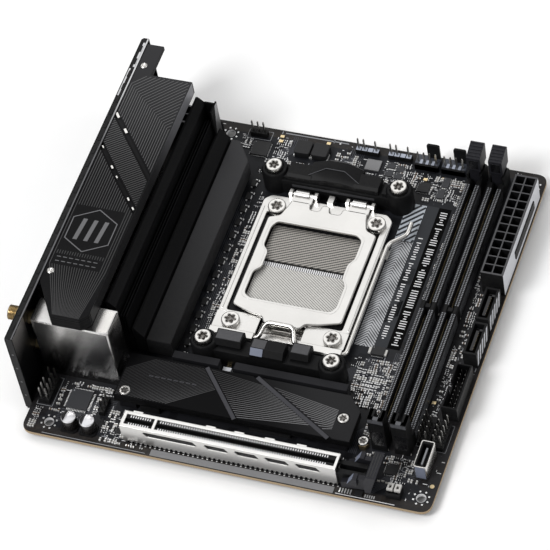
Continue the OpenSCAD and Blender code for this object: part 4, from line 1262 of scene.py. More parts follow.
class RearPorts(Assembly[RearSize]):
    """Shield, cover, emblem and the wireless card's can."""

    def build(self) -> None:
        """Build every piece of the rear edge."""
        self.shield()
        self.cover()
        self.engraving()
        self.rivets()
        self.can()
        self.connectors()

    def openings(self) -> list[tuple[float, float, float, float]]:
        """Give the shield's port windows.

        Returns:
            Low Y, low Z, width and height of each.
        """
        return [(45.4, 2.6, 11.2, 33), (59.7, 2.6, 16.6, 29), (80, 2.6, 15, 30),
                (98.8, 2.6, 9.4, 15), (112.3, 2.6, 17.4, 22)]

    def shield(self) -> None:
        """Build the tray: punched sheet and turned rim, with painted highlight strips and dots."""
        (x0, y0, z0), (x1, y1, z1) = self.size.shield_low, self.size.shield_high
        t = self.size.sheet
        shape = Shape()
        holes = [rounded(rectangle(y, z, w, h), 0.8, 4) for y, z, w, h in self.openings()]
        holes += [circle(34.6, z, 3.25) for z in (14, 31)]
        holes += [circle(138, 12, 2.6)]
        sheet = Shape()
        sheet.plate(rounded(rectangle(y0, z0, y1 - y0, z1 - z0), 1.2), x0, x0 + t, Paint.SHIELD,
                    tuple(holes), edge=0.12)
        shape.stand(sheet, Axis.X, Paint.SHIELD)
        rim = [((x0 + t, y0, z1 - t), (x1 - x0 - t, y1 - y0, t)),
               ((x0 + t, y0, z0), (x1 - x0 - t, y1 - y0, t)),
               ((x0 + t, y0, z0 + t), (x1 - x0 - t, t, z1 - z0 - 2 * t)),
               ((x0 + t, y1 - t, z0 + t), (x1 - x0 - t, t, z1 - z0 - 2 * t))]
        shape.boxes([r[0] for r in rim], [r[1] for r in rim], Paint.SHIELD)
        # Painted highlight: thin bright strips along the rim's top.
        shape.box((x1 - 0.62, y0 + 0.3, z1 - 0.02), (0.6, y1 - y0 - 0.6, 0.06), Paint.SHIELD_LIP)
        shape.boxes([(x0 + 0.5, 141, z1 - 0.02), (x0 + 1.6, 157, z1 - 0.02)],
                    [(0.7, 15, 0.06), (0.9, 13.5, 0.06)], Paint.SHIELD_LIP)
        # Painted light and shade: a thin sheet on the inner face, dark below and pale above.
        shape.box((x0 + t, y0 + t, z0 + t), (0.06, 15.2, z1 - z0 - 2 * t), Paint.SHIELD_IN)
        bumps = np.arange(y0 + 5, y1 - 4, 7.0)
        shape.boxes(spread(x0 + 1.0, bumps, z1 - 0.05), (1.1, 3.2, 0.3), Paint.SHIELD)
        dots = np.array([6.0, 15.0, 24.0, 33.0])
        # Painted highlight: small dots on the shield's near end.
        shape.boxes(spread(x0 + 1.4, y0 - 0.05, dots), (0.8, 0.1, 0.8), Paint.SHIELD_LIP)
        self.shop.make("rear_shield", shape, replaces=("io_shield",), slot="shield_paint", bevel=0.1)

    @staticmethod
    def side_of(line: tuple, shift: float) -> list[Pair]:
        """Shift a groove's line sideways.

        Args:
            line: Corners of the groove's middle.
            shift: Distance towards +Y.

        Returns:
            The shifted corners, still ending on the cover's sides.
        """
        return [(x, y + shift * 1.5) for x, y in line]

    def cover(self) -> None:
        """Build the cover: a tray, and a top split by two slanted grooves."""
        s = self.size
        g = s.groove / 2
        one, two = s.grooves
        shape = Shape()
        nose = [(25.4, 32), (22.2, 28.6), (9.8, 28.6), (-0.1, 44)]
        outline = [(-0.1, 170.6), (7.2, 170.6), (7.2, 154.6), (25.4, 154.6), *nose]
        body = [(-0.1, 154.6), (25.4, 154.6), *nose]
        shape.plate(body, s.cover_low, s.cover_low + 2, Paint.COVER,
                    (rectangle(1.2, 46, 22.8, 107),), edge=0.1)
        shape.plate(outline, s.cover_top - 2.2, s.cover_top - 1.0, Paint.COVER, edge=0.1)
        wall = [*reversed(nose), (25.4, 154.6), (24.2, 154.6),
                (24.2, 32.5), (21.7, 29.8), (10.5, 29.8), (0.7, 45)]
        shape.prism(wall, s.cover_low + 2, s.cover_top - 2.2, Paint.COVER)
        shape.box((-0.1, 153.4, s.cover_low + 2), (25.5, 1.2, 2.6), Paint.COVER)
        top = (s.cover_top - 1.0, s.cover_top, Paint.COVER)
        shape.plate([*self.side_of(one, g), (25.4, 154.6), (7.2, 154.6), (7.2, 170.6),
                     (-0.1, 170.6)], *top, (circle(2.4, 159, 1.6),), edge=0.18)
        shape.plate([*self.side_of(two, g), *reversed(self.side_of(one, -g))], *top, edge=0.18)
        shape.plate([*reversed(self.side_of(two, -g)), *reversed(nose)], *top,
                    (circle(2.4, 49.6, 1.6),), edge=0.18)
        # Painted reflection: a thin sheet on the cover's outer side, pale towards the far end.
        shape.box((25.36, 33.5, s.cover_low + 0.4), (0.08, 120.4, 6.2), Paint.COVER_SIDE)
        self.shop.make("port_cover", shape, replaces=("io_cover",), slot="cover_paint")
        # Painted highlights: small bright steel bits in the grooves stand for glints.
        glint = Shape()
        z = s.cover_top - 1.0
        spots = np.array([(0.9, 131.4), (7.1, 124.1), (0.8, 114.2), (8.2, 104.9), (11.9, 100.4),
                          (20.5, 90.6), (24.0, 86.4)])
        size = np.array([(1.1, 3.2), (1.1, 2.6), (0.6, 1.5), (0.8, 1.8), (0.6, 1.4), (0.7, 1.8),
                         (0.7, 1.6)])
        low = spread(spots - size / 2, z)
        glint.boxes(low, spread(size, 0.85), Paint.STEEL, 40.0)
        self.shop.make("cover_groove_glints", glint, slot="bright_steel", bevel=0.08)

    def engraving(self) -> None:
        """Cut three fields of fine lines and set a plain six-sided emblem.

        Far field: lines run along Y, then turn towards the far corner. Middle
        field: slanted lines. Near field: lines along Y that pass the emblem
        and close in towards the narrow end.
        """
        s = self.size
        z, high = s.cover_top - SUNK, s.cover_top + PROUD
        cut = (0.3, z, high, Paint.ENGRAVED)
        one, two = (np.array(line) for line in s.grooves)
        shape = Shape()
        x = np.arange(0.7, 24.7, 1.08)
        low = np.interp(x, one[:, 0], one[:, 1]) + 2.2
        knee = 149.2 - 0.86 * x
        reach = np.minimum(24.8 - x, 153.6 - knee)
        shape.bars(spread(x, low), spread(x, knee), *cut)
        shape.bars(spread(x, knee), spread(x + reach, knee + reach), *cut)
        shift = np.arange(64.0, 133.0, 1.41)[:, None]
        run = np.linspace(0.2, 24.9, 160)[None, :]
        y = 0.8 * run + shift
        inside = ((y > np.interp(run, two[:, 0], two[:, 1]) + 2.0)
                  & (y < np.interp(run, one[:, 0], one[:, 1]) - 2.0))
        used = inside.any(axis=1)
        first = np.where(inside, run, np.inf).min(axis=1)[used]
        last = np.where(inside, run, -np.inf).max(axis=1)[used]
        shift = shift[used, 0]
        shape.bars(spread(first, 0.8 * first + shift),
                   spread(last, 0.8 * last + shift), 0.34, z, high, Paint.ENGRAVED)
        top = np.interp(x, two[:, 0], two[:, 1]) - 2.0
        beside = (x < 1.4) | (x > 21.6)
        lower = np.where(beside, 53.0, 83.6)
        shape.bars(spread(x, lower), spread(x, top), *cut)
        near = spread(x, np.where(beside, 53.1, 54.6 + 5.0 * (np.abs(x - 11.4) > 8.6)))
        shape.bars(near[~beside] * (1, 0) + (0, 58.4), near[~beside] * (1, 0) + (0, 60.2), *cut)
        end = spread(10.7 + x * 0.456, 29.3)
        shape.bars(spread(x, 53.0), end, *cut)
        bars = spread(np.arange(2.4, 20.6, 2.6), 54.6, z)[:7]
        shape.boxes(bars, (1.7, 0.34, 0.03), Paint.EMBLEM)
        shape.boxes(bars + (0, 2.2, 0), (1.7, 0.34, 0.03), Paint.EMBLEM)
        rim = circle(11.4, 71.8, 11.0, 6, 30)
        shape.plate(rim, z, s.cover_top + 0.1, Paint.EMBLEM, (circle(11.4, 71.8, 10.5, 6, 30),),
                    edge=0.03)
        for shift_x in (-4.6, 0.0, 4.6):
            bar = [(10.0 + shift_x, 66.4), (11.8 + shift_x, 66.4), (12.8 + shift_x, 77.2),
                   (11.0 + shift_x, 77.2)]
            shape.plate(bar, z, s.cover_top + 0.1, Paint.EMBLEM, edge=0.04)
        self.shop.make("cover_engraving", shape, slot="cover_paint")

    def rivets(self) -> None:
        """Build the two bright rivets."""
        shape = Shape()
        for x, y in ((2.4, 159), (2.4, 49.6)):
            z = self.size.cover_top - 1
            shape.turned((x, y, z), [(1.5, 0), (1.5, 1.0), (1.25, 1.25), (0.7, 1.35), (0.35, 1.1)],
                         Paint.STEEL, 24)
        self.shop.make("cover_rivet_heads", shape, replaces=("cover_rivets",), slot="bright_steel")

    def can(self) -> None:
        """Build the polished can: four thin walls and a lid with a rim."""
        shape = Shape()
        x0, y0, x1, y1, z0, z1 = -0.1, 29.2, 33.2, 41.2, SEAT, 36.35
        body = rounded(rectangle(x0, y0, x1 - x0, y1 - y0), 0.9, 5)
        inner = rounded(rectangle(x0 + 0.5, y0 + 0.5, x1 - x0 - 1, y1 - y0 - 1), 0.5, 5)
        shape.plate(body, z0, z1 - 0.6, Paint.MIRROR, (inner,), edge=0.05)
        shape.plate(body, z1 - 0.6, z1, Paint.MIRROR, edge=0.25)
        # Painted reflection: a thin sheet on the can's front face.
        shape.box((x0 + 0.9, y0 - 0.03, z0 + 0.3), (x1 - x0 - 1.8, 0.06, z1 - z0 - 1.2), Paint.CAN_FACE)
        shape.plate(rounded(rectangle(27.6, y0 + 0.8, 4.8, 10.2), 0.5), z1 - 0.02, z1 + 0.1,
                    Paint.STEEL, edge=0.04)
        shape.path([(32.9, y0 + 1.2), (32.9, y0 + 11)], 0.3, z1, z1 + 0.12, Paint.LABEL)
        self.shop.make("card_can", shape, replaces=("wifi_can",), slot="bright_steel")

    def connectors(self) -> None:
        """Build the antenna connectors with threads and a nut."""
        shape = Shape()
        turns = np.linspace(0, 7.4, 60)
        radius = 2.9 + 0.17 * np.cos(turns / 0.62 * 2 * math.pi)
        for z in (14, 31):
            profile = [(2.2, 2.0), (2.2, 0.0), *zip(radius, turns), (3.08, 7.6), (3.08, 11.3)]
            shape.turned((-11.6, 34.6, z), profile, Paint.GOLD, 32, Axis.X)
            shape.turned((-11.0, 34.6, z), [(0.5, 0), (0.5, 3.0)], Paint.GOLD, 12, Axis.X)
            shape.turned((-0.3, 34.6, z), [(2.05, 0), (2.05, 5.2)], Paint.GOLD, 24, Axis.X)
            ring = Shape()
            ring.plate(circle(34.6, z, 4.6, 6, 15), -5.2, -3.5, Paint.STEEL,
                       (circle(34.6, z, 3.12, 24),), edge=0.15)
            shape.stand(ring, Axis.X, Paint.STEEL)
        self.shop.make("antenna_sockets", shape, replaces=("antenna_connectors",), slot="gold_brass")


# ---- Power stage cooler ----


@dataclass(frozen=True)
class CoolerSize:
    """Sizes of the power stage cooler."""

    low_y: float = 45.4
    high_y: float = 153.8
    base_z: float = 5.2
    step_z: float = 14.0
    crest_z: float = 35.6


class PowerCooler(Assembly[CoolerSize]):
    """Tall extruded cooler with fins, a sloped step and a broad base."""

    def build(self) -> None:
        """Build the cooler and the power parts beside it."""
        self.cooler()
        self.drivers()

    def cooler(self) -> None:
        """Build the tall back, the fins, the sloped step and the broad base."""
        s = self.size
        shape = Shape()
        y0, y1 = s.low_y, s.high_y
        # The tall back block uses the lighter, painted-light copy of the anodised black.
        tall = [(25.9, s.base_z), (29.7, s.base_z), (29.7, 32.2), (26.9, s.crest_z - 0.6),
                (25.9, s.crest_z - 0.6)]
        shape.prism(tall, y0, y1, Paint.COOLER_SLOPE, Axis.Y)
        shape.prism([(29.7, s.base_z), (34.9, s.base_z), (34.9, 14.4), (29.7, 14.4)], y0, y1,
                    Paint.COOLER, Axis.Y)
        for x in (30.6, 31.75, 32.9):
            shape.box((x, y0, 14.2), (0.5, y1 - y0 - 4.6, 12.6), Paint.COOLER)
        shape.boxes([(34.2, y1 - 6.4, 14.2), (29.5, y1 - 0.8, 14.2)], [(0.65, 6.4, 20.0), (5.3, 0.8, 18.8)],
                    Paint.COOLER)
        # Painted light: a thin sheet on the far end's +X face, lit grey above and shaded dark below.
        shape.prism([(y1 - 5.6, 18.0), (y1 - 0.2, 16.0), (y1 - 0.2, 34.0), (y1 - 2.4, 34.0)], 34.84,
                    34.9, Paint.COOLER_SIDE, Axis.X)
        # The step also uses the lighter, painted-light copy of the anodised black.
        step = [(34.4, s.base_z), (38.9, s.base_z), (38.9, 15.2), (38.3, 15.8), (35.3, 19.8),
                (34.4, 19.8)]
        shape.prism(step, y0, y1 - 2.4, Paint.COOLER_SLOPE, Axis.Y)
        # The broad base plate carries a painted sheen towards the far end.
        plate = [(39.5, y0), (50.1, y0), (50.1, 141.8), (43.2, y1 - 2.4), (39.5, y1 - 2.4)]
        shape.plate(plate, s.base_z, s.step_z, Paint.COOLER_LIGHT, edge=0.35)
        shape.box((38.8, y0 + 0.2, s.base_z), (1.2, y1 - y0 - 3, 7.2), Paint.COOLER)
        shape.box((30.3, y1 - 1.8, 12), (4.3, 3.9, 6.4), Paint.COOLER)
        self.shop.make("power_cooler", shape, replaces=("vrm_heatsink",), slot="anodised_black",
                       bevel=0.22)

    def drivers(self) -> None:
        """Build the row of driver packages with their small parts."""
        row = Shape()
        y = np.arange(47.0, 142.0, 7.0)
        row.boxes(spread(50.6, y, TOP), (2.0, 3.4, 1.0), Paint.CHIP)
        for dx, dy, w, h, t in ((2.1, 0.6, 0.4, 1.7, 0.6), (1.2, 3.5, 0.9, 0.5, 0.7),
                                (0.4, -0.6, 0.6, 0.5, 0.5), (2.5, 3.2, 0.5, 0.9, 0.4)):
            row.boxes(spread(50.6 + dx, y + dy, TOP), (w, h, t), Paint.SOLDER)
        self.shop.make("driver_row", row, slot="chip_resin", bevel=0.08)


# ---- Processor socket ----


@dataclass(frozen=True)
class SocketSize:
    """Sizes of the processor socket, measured from its centre and the board's top."""

    x: float = 88.3
    y: float = 97.2
    clip: Pair = (27.0, 45.0)
    screw: Pair = (21.6, 29.7)
    lever_y: float = -35.0
    lever_z: float = 3.1
    wire: float = 1.0
    hinge_y: float = 37.6
    hinge_z: float = 5.0


class ProcessorSocket(Assembly[SocketSize]):
    """Socket body, contact field, steel frame, load plate, lever and brackets."""

    def at(self, shape: Shape) -> Shape:
        """Move a shape from the socket centre to its place on the board.

        Args:
            shape: The shape, changed in place.

        Returns:
            The same shape.
        """
        place = np.array([self.size.x, self.size.y, TOP])
        shape.points = [p + place for p in shape.points]
        return shape

    def build(self) -> None:
        """Build every piece of the socket."""
        self.body()
        self.frame()
        self.plate()
        self.lever()
        self.screws()
        self.brackets()

    def body(self) -> None:
        """Build the tray and the two contact fields."""
        shape = Shape()
        tray = rectangle(-20.8, -19.2, 39.6, 41.6)
        shape.plate(rounded(rectangle(-25, -24, 48, 50), 1.5), 0.02, 3.3, Paint.PLASTIC,
                    (rounded(tray, 0.8),), edge=0.15)
        shape.plate(tray, 0.02, 1.9, Paint.PLASTIC, edge=0.05)
        self.shop.make("socket_tray", self.at(shape), replaces=("socket_body",), slot="black_plastic")
        field = Shape()
        field.box((-20.4, 4.4, 1.9), (38.8, 17.6, 0.7), Paint.FIELD)
        field.box((-20.4, -18.8, 1.9), (38.8, 20, 0.7), Paint.FIELD_SLANT)
        field.boxes(spread(np.arange(-19.6, 18.2, 0.9), 1.3, 1.9), (0.45, 2.0, 0.62), Paint.SILK)
        self.shop.make("contact_fields", self.at(field), replaces=("socket_contacts",), slot="gold_brass")

    def frame(self) -> None:
        """Build the stamped steel frame with its ears, channels and lugs."""
        shape = Shape()
        ring = rounded([(-28.8, -25.4), (27.1, -25.4), (27.1, 33.4), (24.2, 36.2), (-25.8, 36.2),
                        (-28.8, 33.4)], 1.2)
        sx, sy = self.size.screw
        ears = [circle(a * sx, sy, 1.9, 24) for a in (-1, 1)]
        window = rounded(rectangle(-25.3, -24.2, 49.0, 51.6), 1.0)
        shape.plate(ring, 2.6, 3.8, Paint.NICKEL, (window, *ears), edge=0.3)
        for low, high in ((-28.8, -10.2), (9.0, 27.1)):
            profile = [(-25.2, 3.8), (-33.2, 3.8), (-34.0, 4.9), (-36.9, 4.9), (-37.6, 4.2),
                       (-37.6, 0.6), (-36.9, 0.6), (-36.9, 4.0), (-36.6, 4.25), (-34.4, 4.25),
                       (-33.6, 3.2), (-25.2, 3.2)]
            shape.prism(profile, low, high, Paint.NICKEL, Axis.X)
            shape.box((low, -37.6, 0.6), (high - low, 0.7, 0.4), Paint.NICKEL)
        for x, y in ((a * sx, b * sy) for a in (-1, 1) for b in (-1, 1)):
            shape.turned((x, y, 0.02), [(2.4, 0), (3.7, 0.0), (3.7, 3.7), (2.4, 3.7)], Paint.NICKEL, 24)
        for x in (-18.4, -7.6, 6.2, 17.0):
            lug = [(35.8, 2.8), (39.4, 2.8), (39.4, 5.6), (38.8, 6.6), (36.6, 6.8), (35.8, 6.2)]
            shape.prism(lug, x, x + 1.4, Paint.NICKEL, Axis.X)
        shape.prism([(35.9, 2.8), (40.2, 2.8), (40.2, 4.6), (39.6, 5.2), (35.9, 5.2)], -1.9, 0.6,
                    Paint.NICKEL, Axis.X)
        shape.box((-10.2, -33.6, 0.8), (19.2, 8.6, 0.7), Paint.NICKEL)
        shape.boxes([(-9.6, -31.0, 1.5), (-9.6, -28.6, 1.5)], (18.0, 0.8, 0.3), Paint.DARK_STEEL)
        shape.boxes([(26.4, 15.6, 1.2), (26.4, 15.6, 1.2)], [(3.6, 4.6, 0.5), (0.7, 4.6, 1.5)],
                    Paint.NICKEL)
        shape.boxes([(-27.6, -24, 3.7), (26.0, -24, 3.7)], [(0.5, 54, 0.4), (0.4, 54, 0.4)], Paint.NICKEL)
        self.shop.make("socket_frame_steel", self.at(shape), replaces=("socket_frame",),
                       slot="load_plate_steel", bevel=0.15)

    def plate(self) -> None:
        """Build the load plate: a crowned stamping with a notched window."""
        window = rounded([(-18.6, 22), (15.6, 22), (18.4, 19.6), (18.4, 10), (16.4, 7), (16.4, -0.6),
                          (18.6, -3.6), (18.6, -15), (16.8, -17.8), (-17.8, -17.8), (-20.4, -15.8),
                          (-20.4, -4.4), (-17.7, -1.8), (-17.7, 6.4), (-20.4, 9), (-20.4, 19)], 1.4, 5)
        outline = rounded([(-15.6, -24.6), (-9.4, -25.6), (-8.2, -28.2), (7.4, -28.2), (8.8, -25.6),
                           (14.6, -24.6), (23.0, -22.0), (23.4, 23.6), (18.6, 25.4), (17.0, 30.2),
                           (16.4, 34.0), (6.0, 34.0), (5.4, 30.6), (0.8, 30.6), (0.2, 34.0),
                           (-3.0, 34.0), (-3.6, 30.6), (-7.6, 30.6), (-8.2, 34.0), (-16.4, 34.0),
                           (-17.2, 30.2), (-18.8, 25.4), (-23.4, 23.6), (-23.4, -22.0)], 1.2, 5)
        shape = Shape()
        shape.plate(outline, 4.4, 5.5, Paint.NICKEL, (window,), edge=0.4)
        shape.plate([(x * 1.06, y * 1.05) for x, y in window], 5.38, 5.58, Paint.NICKEL, (window,),
                    edge=0.1)
        y0, z0 = self.size.hinge_y, self.size.hinge_z
        turn = np.radians(np.linspace(0, 180, 11))
        curl = [(y0 + 2.0 * math.cos(a), z0 + 2.0 * math.sin(a)) for a in turn]
        curl += [(y0 - 2.0, 4.4), (y0 + 2.0, 4.4)]
        for x, w in ((-16.8, 9.0), (7.8, 9.0)):
            shape.plate(rectangle(x, 33.0, w, 4.4), 4.4, 5.5, Paint.NICKEL, edge=0.3)
            shape.prism(curl, x + 1.2, x + 7.0, Paint.NICKEL, Axis.X)
            shape.turned((x - 0.1, y0, z0), [(0.8, 0), (1.05, 0.2), (1.05, 9.0), (0.8, 9.2)],
                         Paint.NICKEL, 20, Axis.X)
        self.shop.make("load_plate_steel_skin", self.at(shape), Body.PLATE, ("load_plate",),
                       "load_plate_steel", bevel=0.0)

    def lever(self) -> None:
        """Build the lever as one bent wire."""
        s = self.size
        y, z, x1 = s.lever_y, s.lever_z, 28.6
        bend = [(-17.6, y, z), (-8.4, y, z), (-6.4, y + 6.4, z + 3.2), (5.0, y + 6.4, z + 3.2),
                (7.0, y, z), (x1, y, z), (x1, y + 57.4, z), (x1 + 6.4, y + 63, z + 0.6),
                (x1 + 6.4, y + 69, z + 1.0)]
        shape = Shape()
        shape.wire(soft_path(bend, 2.2, 7), s.wire, Paint.STEEL, 20)
        self.shop.make("lever_wire", self.at(shape), Body.LEVER, ("load_lever",), "bright_steel",
                       smooth=60)

    def screws(self) -> None:
        """Build the four socket screws and the four bracket screws."""
        for name, node, (dx, dy), z, radius, tall, shank in (
                ("socket_screw_heads", "socket_screws", self.size.screw, 3.8, 3.8, 2.0, 1.38),
                ("bracket_screw_heads", "bracket_screws", self.size.clip, 10.0, 3.4, 2.8, 1.62)):
            shape = Shape()
            for x, y in ((a * dx, b * dy) for a in (-1, 1) for b in (-1, 1)):
                shape.star_screw(x, y, z, radius, tall)
                shape.turned((x, y, -3.8), [(shank, 0), (shank, z + 3.85)], Paint.STEEL, 20)
            self.shop.make(name, self.at(shape), replaces=(node,), slot="bright_steel")

    def brackets(self) -> None:
        """Build the two plastic cooler brackets."""
        for name, node, way in (("far_bracket", "bracket_top", 1), ("near_bracket", "bracket_bottom", -1)):
            shape = Shape()
            y0 = way * self.size.clip[1]
            boss = [(2.3, 0), (5.6, 0), (5.6, 9.8), (4.9, 10.8), (4.0, 10.8), (3.9, 9.95), (2.3, 9.95)]
            for a in (-1, 1):
                shape.turned((a * self.size.clip[0], y0, 0.02), boss, Paint.PLASTIC, 40)
            near, far = sorted((y0 - way * 4, y0 + way * 3))
            shape.plate([(-23.2, near), (23.2, near), (23.2, far), (-23.2, far)], 0.02, 8.4,
                        Paint.PLASTIC, edge=0.3)
            if way > 0:
                self.far_ridges(shape)
            else:
                self.near_ridges(shape)
            self.shop.make(name, self.at(shape), replaces=(node,), slot="black_plastic", bevel=0.25)

    @staticmethod
    def far_ridges(shape: Shape) -> None:
        """Add the far bracket's two low blocks and its crowned middle, with a painted highlight strip on
        its front and painted highlight lines along the crown.

        Args:
            shape: Shape of the bracket.
        """
        # Painted highlight strip on the bracket's front face.
        shape.box((-18.6, 40.95, 5.2), (35.6, 0.25, 1.4), Paint.RIM)
        block = [(41.6, 8.3), (49.3, 8.3), (49.3, 9.9), (48.6, 11.6), (42.8, 11.6), (41.6, 10.6)]
        for x, w in ((-20.6, 10.4), (8.2, 10.6)):
            shape.prism(block, x, x + w, Paint.PLASTIC, Axis.X)
        low = [(41.6, 8.3), (52.0, 8.3), (52.0, 9.6), (50.6, 11.4), (43.6, 11.6), (41.6, 10.4)]
        tall = [(41.8, 8.3), (52.6, 8.3), (52.6, 12.2), (51.2, 13.6), (46.8, 13.8), (42.2, 11.0)]
        rings = ((-11.6, low), (-4.6, tall), (3.4, tall), (10.2, low))
        shape.loft([spread(x, ring) for x, ring in rings], Paint.PLASTIC)
        # Painted highlight lines along the crown's edge.
        crest = np.array([(-11.6, 43.4, 11.6), (-4.6, 46.6, 13.85), (3.4, 46.6, 13.85), (10.2, 43.4, 11.6)])
        section = np.array([(0, -0.15, 0), (0, 0.15, 0), (0, 0.15, 0.14), (0, -0.15, 0.14)])
        for start, end in zip(crest[:-1], crest[1:]):
            shape.loft([start + section, end + section], Paint.TOWER)
        for x in (-22.6, 20.2):
            shape.box((x, 42, 8.3), (2.2, 5.4, 1.4), Paint.PLASTIC)

    @staticmethod
    def near_ridges(shape: Shape) -> None:
        """Add the near bracket's three blocks, with painted highlight strips on their tops and a painted
        reflection on one facet.

        Args:
            shape: Shape of the bracket.
        """
        block = [(-38.9, 8.3), (-44.7, 8.3), (-46.0, 9.6), (-44.4, 11.9), (-39.5, 11.9), (-38.9, 11.2)]
        strip = [(-39.8, 11.85), (-44.2, 11.85), (-44.2, 12.0), (-39.8, 12.0)]
        for x, w in ((-22.4, 11.2), (9.3, 8.0)):
            shape.prism(block, x, x + w, Paint.PLASTIC, Axis.X)
            # Painted highlight strip on each block's top.
            shape.prism(strip, x + 0.5, x + w - 0.5, Paint.RIM, Axis.X)
        block = [(-40.8, 8.3), (-48.0, 8.3), (-48.0, 10.2), (-45.8, 12.4), (-41.3, 12.4), (-40.8, 11.8)]
        strip = [(-41.6, 12.35), (-45.6, 12.35), (-45.6, 12.5), (-41.6, 12.5)]
        facet = [(-45.9, 12.3), (-48.1, 10.1), (-48.3, 10.4), (-46.1, 12.6)]
        # A painted highlight strip on the top and a painted reflection on one facet.
        for outline, low, high, paint in ((block, -6.8, 7.2, Paint.PLASTIC), (strip, -6.3, -0.8, Paint.RIM),
                                          (facet, -6.4, -1.2, Paint.FACET)):
            shape.prism(outline, low, high, paint, Axis.X)


# ---- Memory, expansion and storage ----


@dataclass(frozen=True)
class MemorySize:
    """Sizes of the memory slots."""

    first_x: float = 143.0
    pitch: float = 9.3
    low_y: float = 23.8
    high_y: float = 156.4
    width: float = 6.4
    body_z: float = 9.0
    tower_z: float = 22.0
    key_y: float = 90.6


class MemorySlots(Assembly[MemorySize]):
    """Two long memory slots with end towers and swinging latches."""

    def build(self) -> None:
        """Build both slots, their contacts and latches."""
        s = self.size
        for i, letter in enumerate("ab"):
            x = s.first_x + i * s.pitch
            self.slot(x, letter)
            self.latch(x, letter)
        contacts = Shape()
        for i in range(2):
            middle = s.first_x + i * s.pitch
            for side in (-1, 1):
                rows = ((0.85, 0.15, 2.6, (0.3, 0.45, 2.6), Paint.GOLD),
                        (1.45, 0.25, 8.97, (0.5, 0.42, 0.08), Paint.TICK),
                        (2.5, 0.31, 8.97, (0.62, 0.42, 0.08), Paint.TICK),
                        (s.width / 2, (0.0, 0.05)[side < 0], 2.4, (0.05, 0.3, 5.6), Paint.TICK))
                for low, high in ((s.low_y + 8, s.key_y - 2), (s.key_y + 2, s.high_y - 3)):
                    y = np.arange(low, high, 0.85)
                    for offset, back, z, size, paint in rows:
                        contacts.boxes(spread(middle + side * offset - back, y, z), size, paint)
        self.shop.make("memory_contacts", contacts, replaces=("dimm_contacts",), slot="gold_brass")

    def slot(self, x: float, letter: str) -> None:
        """Build one slot's body, tower and cheeks.

        Args:
            x: Middle of the slot.
            letter: Letter of the slot.
        """
        s = self.size
        w = s.width / 2
        shape = Shape()
        for side in (-1, 1):
            wall = [(side * w, TOP), (side * w, s.body_z - 0.5), (side * (w - 0.5), s.body_z),
                    (side * 1.5, s.body_z), (side * 0.95, s.body_z - 0.8), (side * 0.95, TOP)]
            wall = [(x + u, v) for u, v in wall]
            shape.prism(wall, s.low_y + 5, s.high_y, Paint.PLASTIC, Axis.Y)
        shape.box((x - 1, s.low_y + 3, TOP), (2, s.high_y - s.low_y - 3, 2.0), Paint.PLASTIC)
        shape.box((x - 1, s.key_y - 0.9, TOP + 2), (2, 1.8, s.body_z - TOP - 2.2), Paint.PLASTIC)
        for side in (-1, 1):
            x0 = x + min(side * w, side * 0.95)
            shape.box((x0, s.low_y, TOP), (w - 0.95, 5.4, s.tower_z - TOP), Paint.PLASTIC)
        shape.box((x - 1, s.low_y, TOP), (2, 2.2, s.tower_z - TOP - 2.6), Paint.PLASTIC)
        shape.box((x - 2.4, s.low_y - 0.02, 5), (4.8, 0.3, 9), Paint.GLOSS)
        for side in (-w, w - 0.8):
            cheek = [(s.high_y - 0.05, TOP), (164.3, TOP), (164.3, 9.6), (162.8, 12.0),
                     (s.high_y - 0.05, 12.0)]
            shape.prism(cheek, x + side, x + side + 0.8, Paint.PLASTIC, Axis.X)
        shape.box((x - w + 0.5, s.high_y - 0.05, TOP), (2 * w - 1, 8, 0.8), Paint.PLASTIC)
        y = np.arange(s.low_y + 12, s.high_y - 6, 11.4)
        for side in (-w - 0.02, w - 0.18):
            shape.boxes(spread(x + side, y, TOP), (0.2, 2.4, 3.4), Paint.GLOSS)
        # Painted highlight: grey bands on the tower's top and at the top of its front.
        rim = [(x - w, s.low_y), (x + w, s.low_y), (x + w, s.low_y + 5.3), (x + w - 1.5, s.low_y + 5.3),
               (x + w - 1.5, s.low_y + 1.7), (x - w + 1.5, s.low_y + 1.7), (x - w + 1.5, s.low_y + 5.3),
               (x - w, s.low_y + 5.3)]
        shape.plate(rim, s.tower_z - 0.3, s.tower_z, Paint.TOWER, edge=0.1)
        shape.box((x - w + 0.1, s.low_y - 0.02, s.tower_z - 2.6), (2 * w - 0.2, 0.3, 2.2), Paint.TOWER)
        self.shop.make(f"memory_slot_{letter}", shape, replaces=(f"dimm_slot_{letter}",),
                       slot="black_plastic", bevel=0.12)

    def latch(self, x: float, letter: str) -> None:
        """Build one latch: a hooked arm, a wide ridged thumb pad and two pins.

        Args:
            x: Middle of the slot.
            letter: Letter of the slot.
        """
        shape = Shape()
        arm = [(157, 4.4), (160, 3.4), (163.2, 3.4), (164.6, 6), (164.6, 14), (157, 14), (157, 12)]
        shape.prism(arm, x - 2.1, x + 2.1, Paint.LATCH, Axis.X)
        pad = [(157, 13.6), (164.8, 13.6), (165.4, 22.4), (164.6, 23.2), (157, 21.4)]
        shape.prism(pad, x - 2.9, x + 2.9, Paint.LATCH, Axis.X)
        for k in range(5):
            y = 157.9 + k * 1.45
            z = 21.55 + (y - 157) * 0.236
            ridge = [(y, z - 0.4), (y + 0.7, z - 0.25), (y + 0.55, z + 0.32), (y + 0.15, z + 0.28)]
            shape.prism(ridge, x - 2.7, x + 2.7, Paint.LATCH, Axis.X)
        shape.box((x - 2.0, 156.96, 15.0), (4.0, 0.1, 5.0), Paint.GLOSS)
        shape.turned((x - 3.1, 161.6, 6), [(0.9, 0), (1, 0.1), (1, 6.1), (0.9, 6.2)], Paint.LATCH, 20,
                     Axis.X)
        body = Body.LATCH_A if letter == "a" else Body.LATCH_B
        self.shop.make(f"memory_latch_{letter}", shape, body, (f"dimm_latch_{letter}",),
                       "latch_plastic", bevel=0.18)


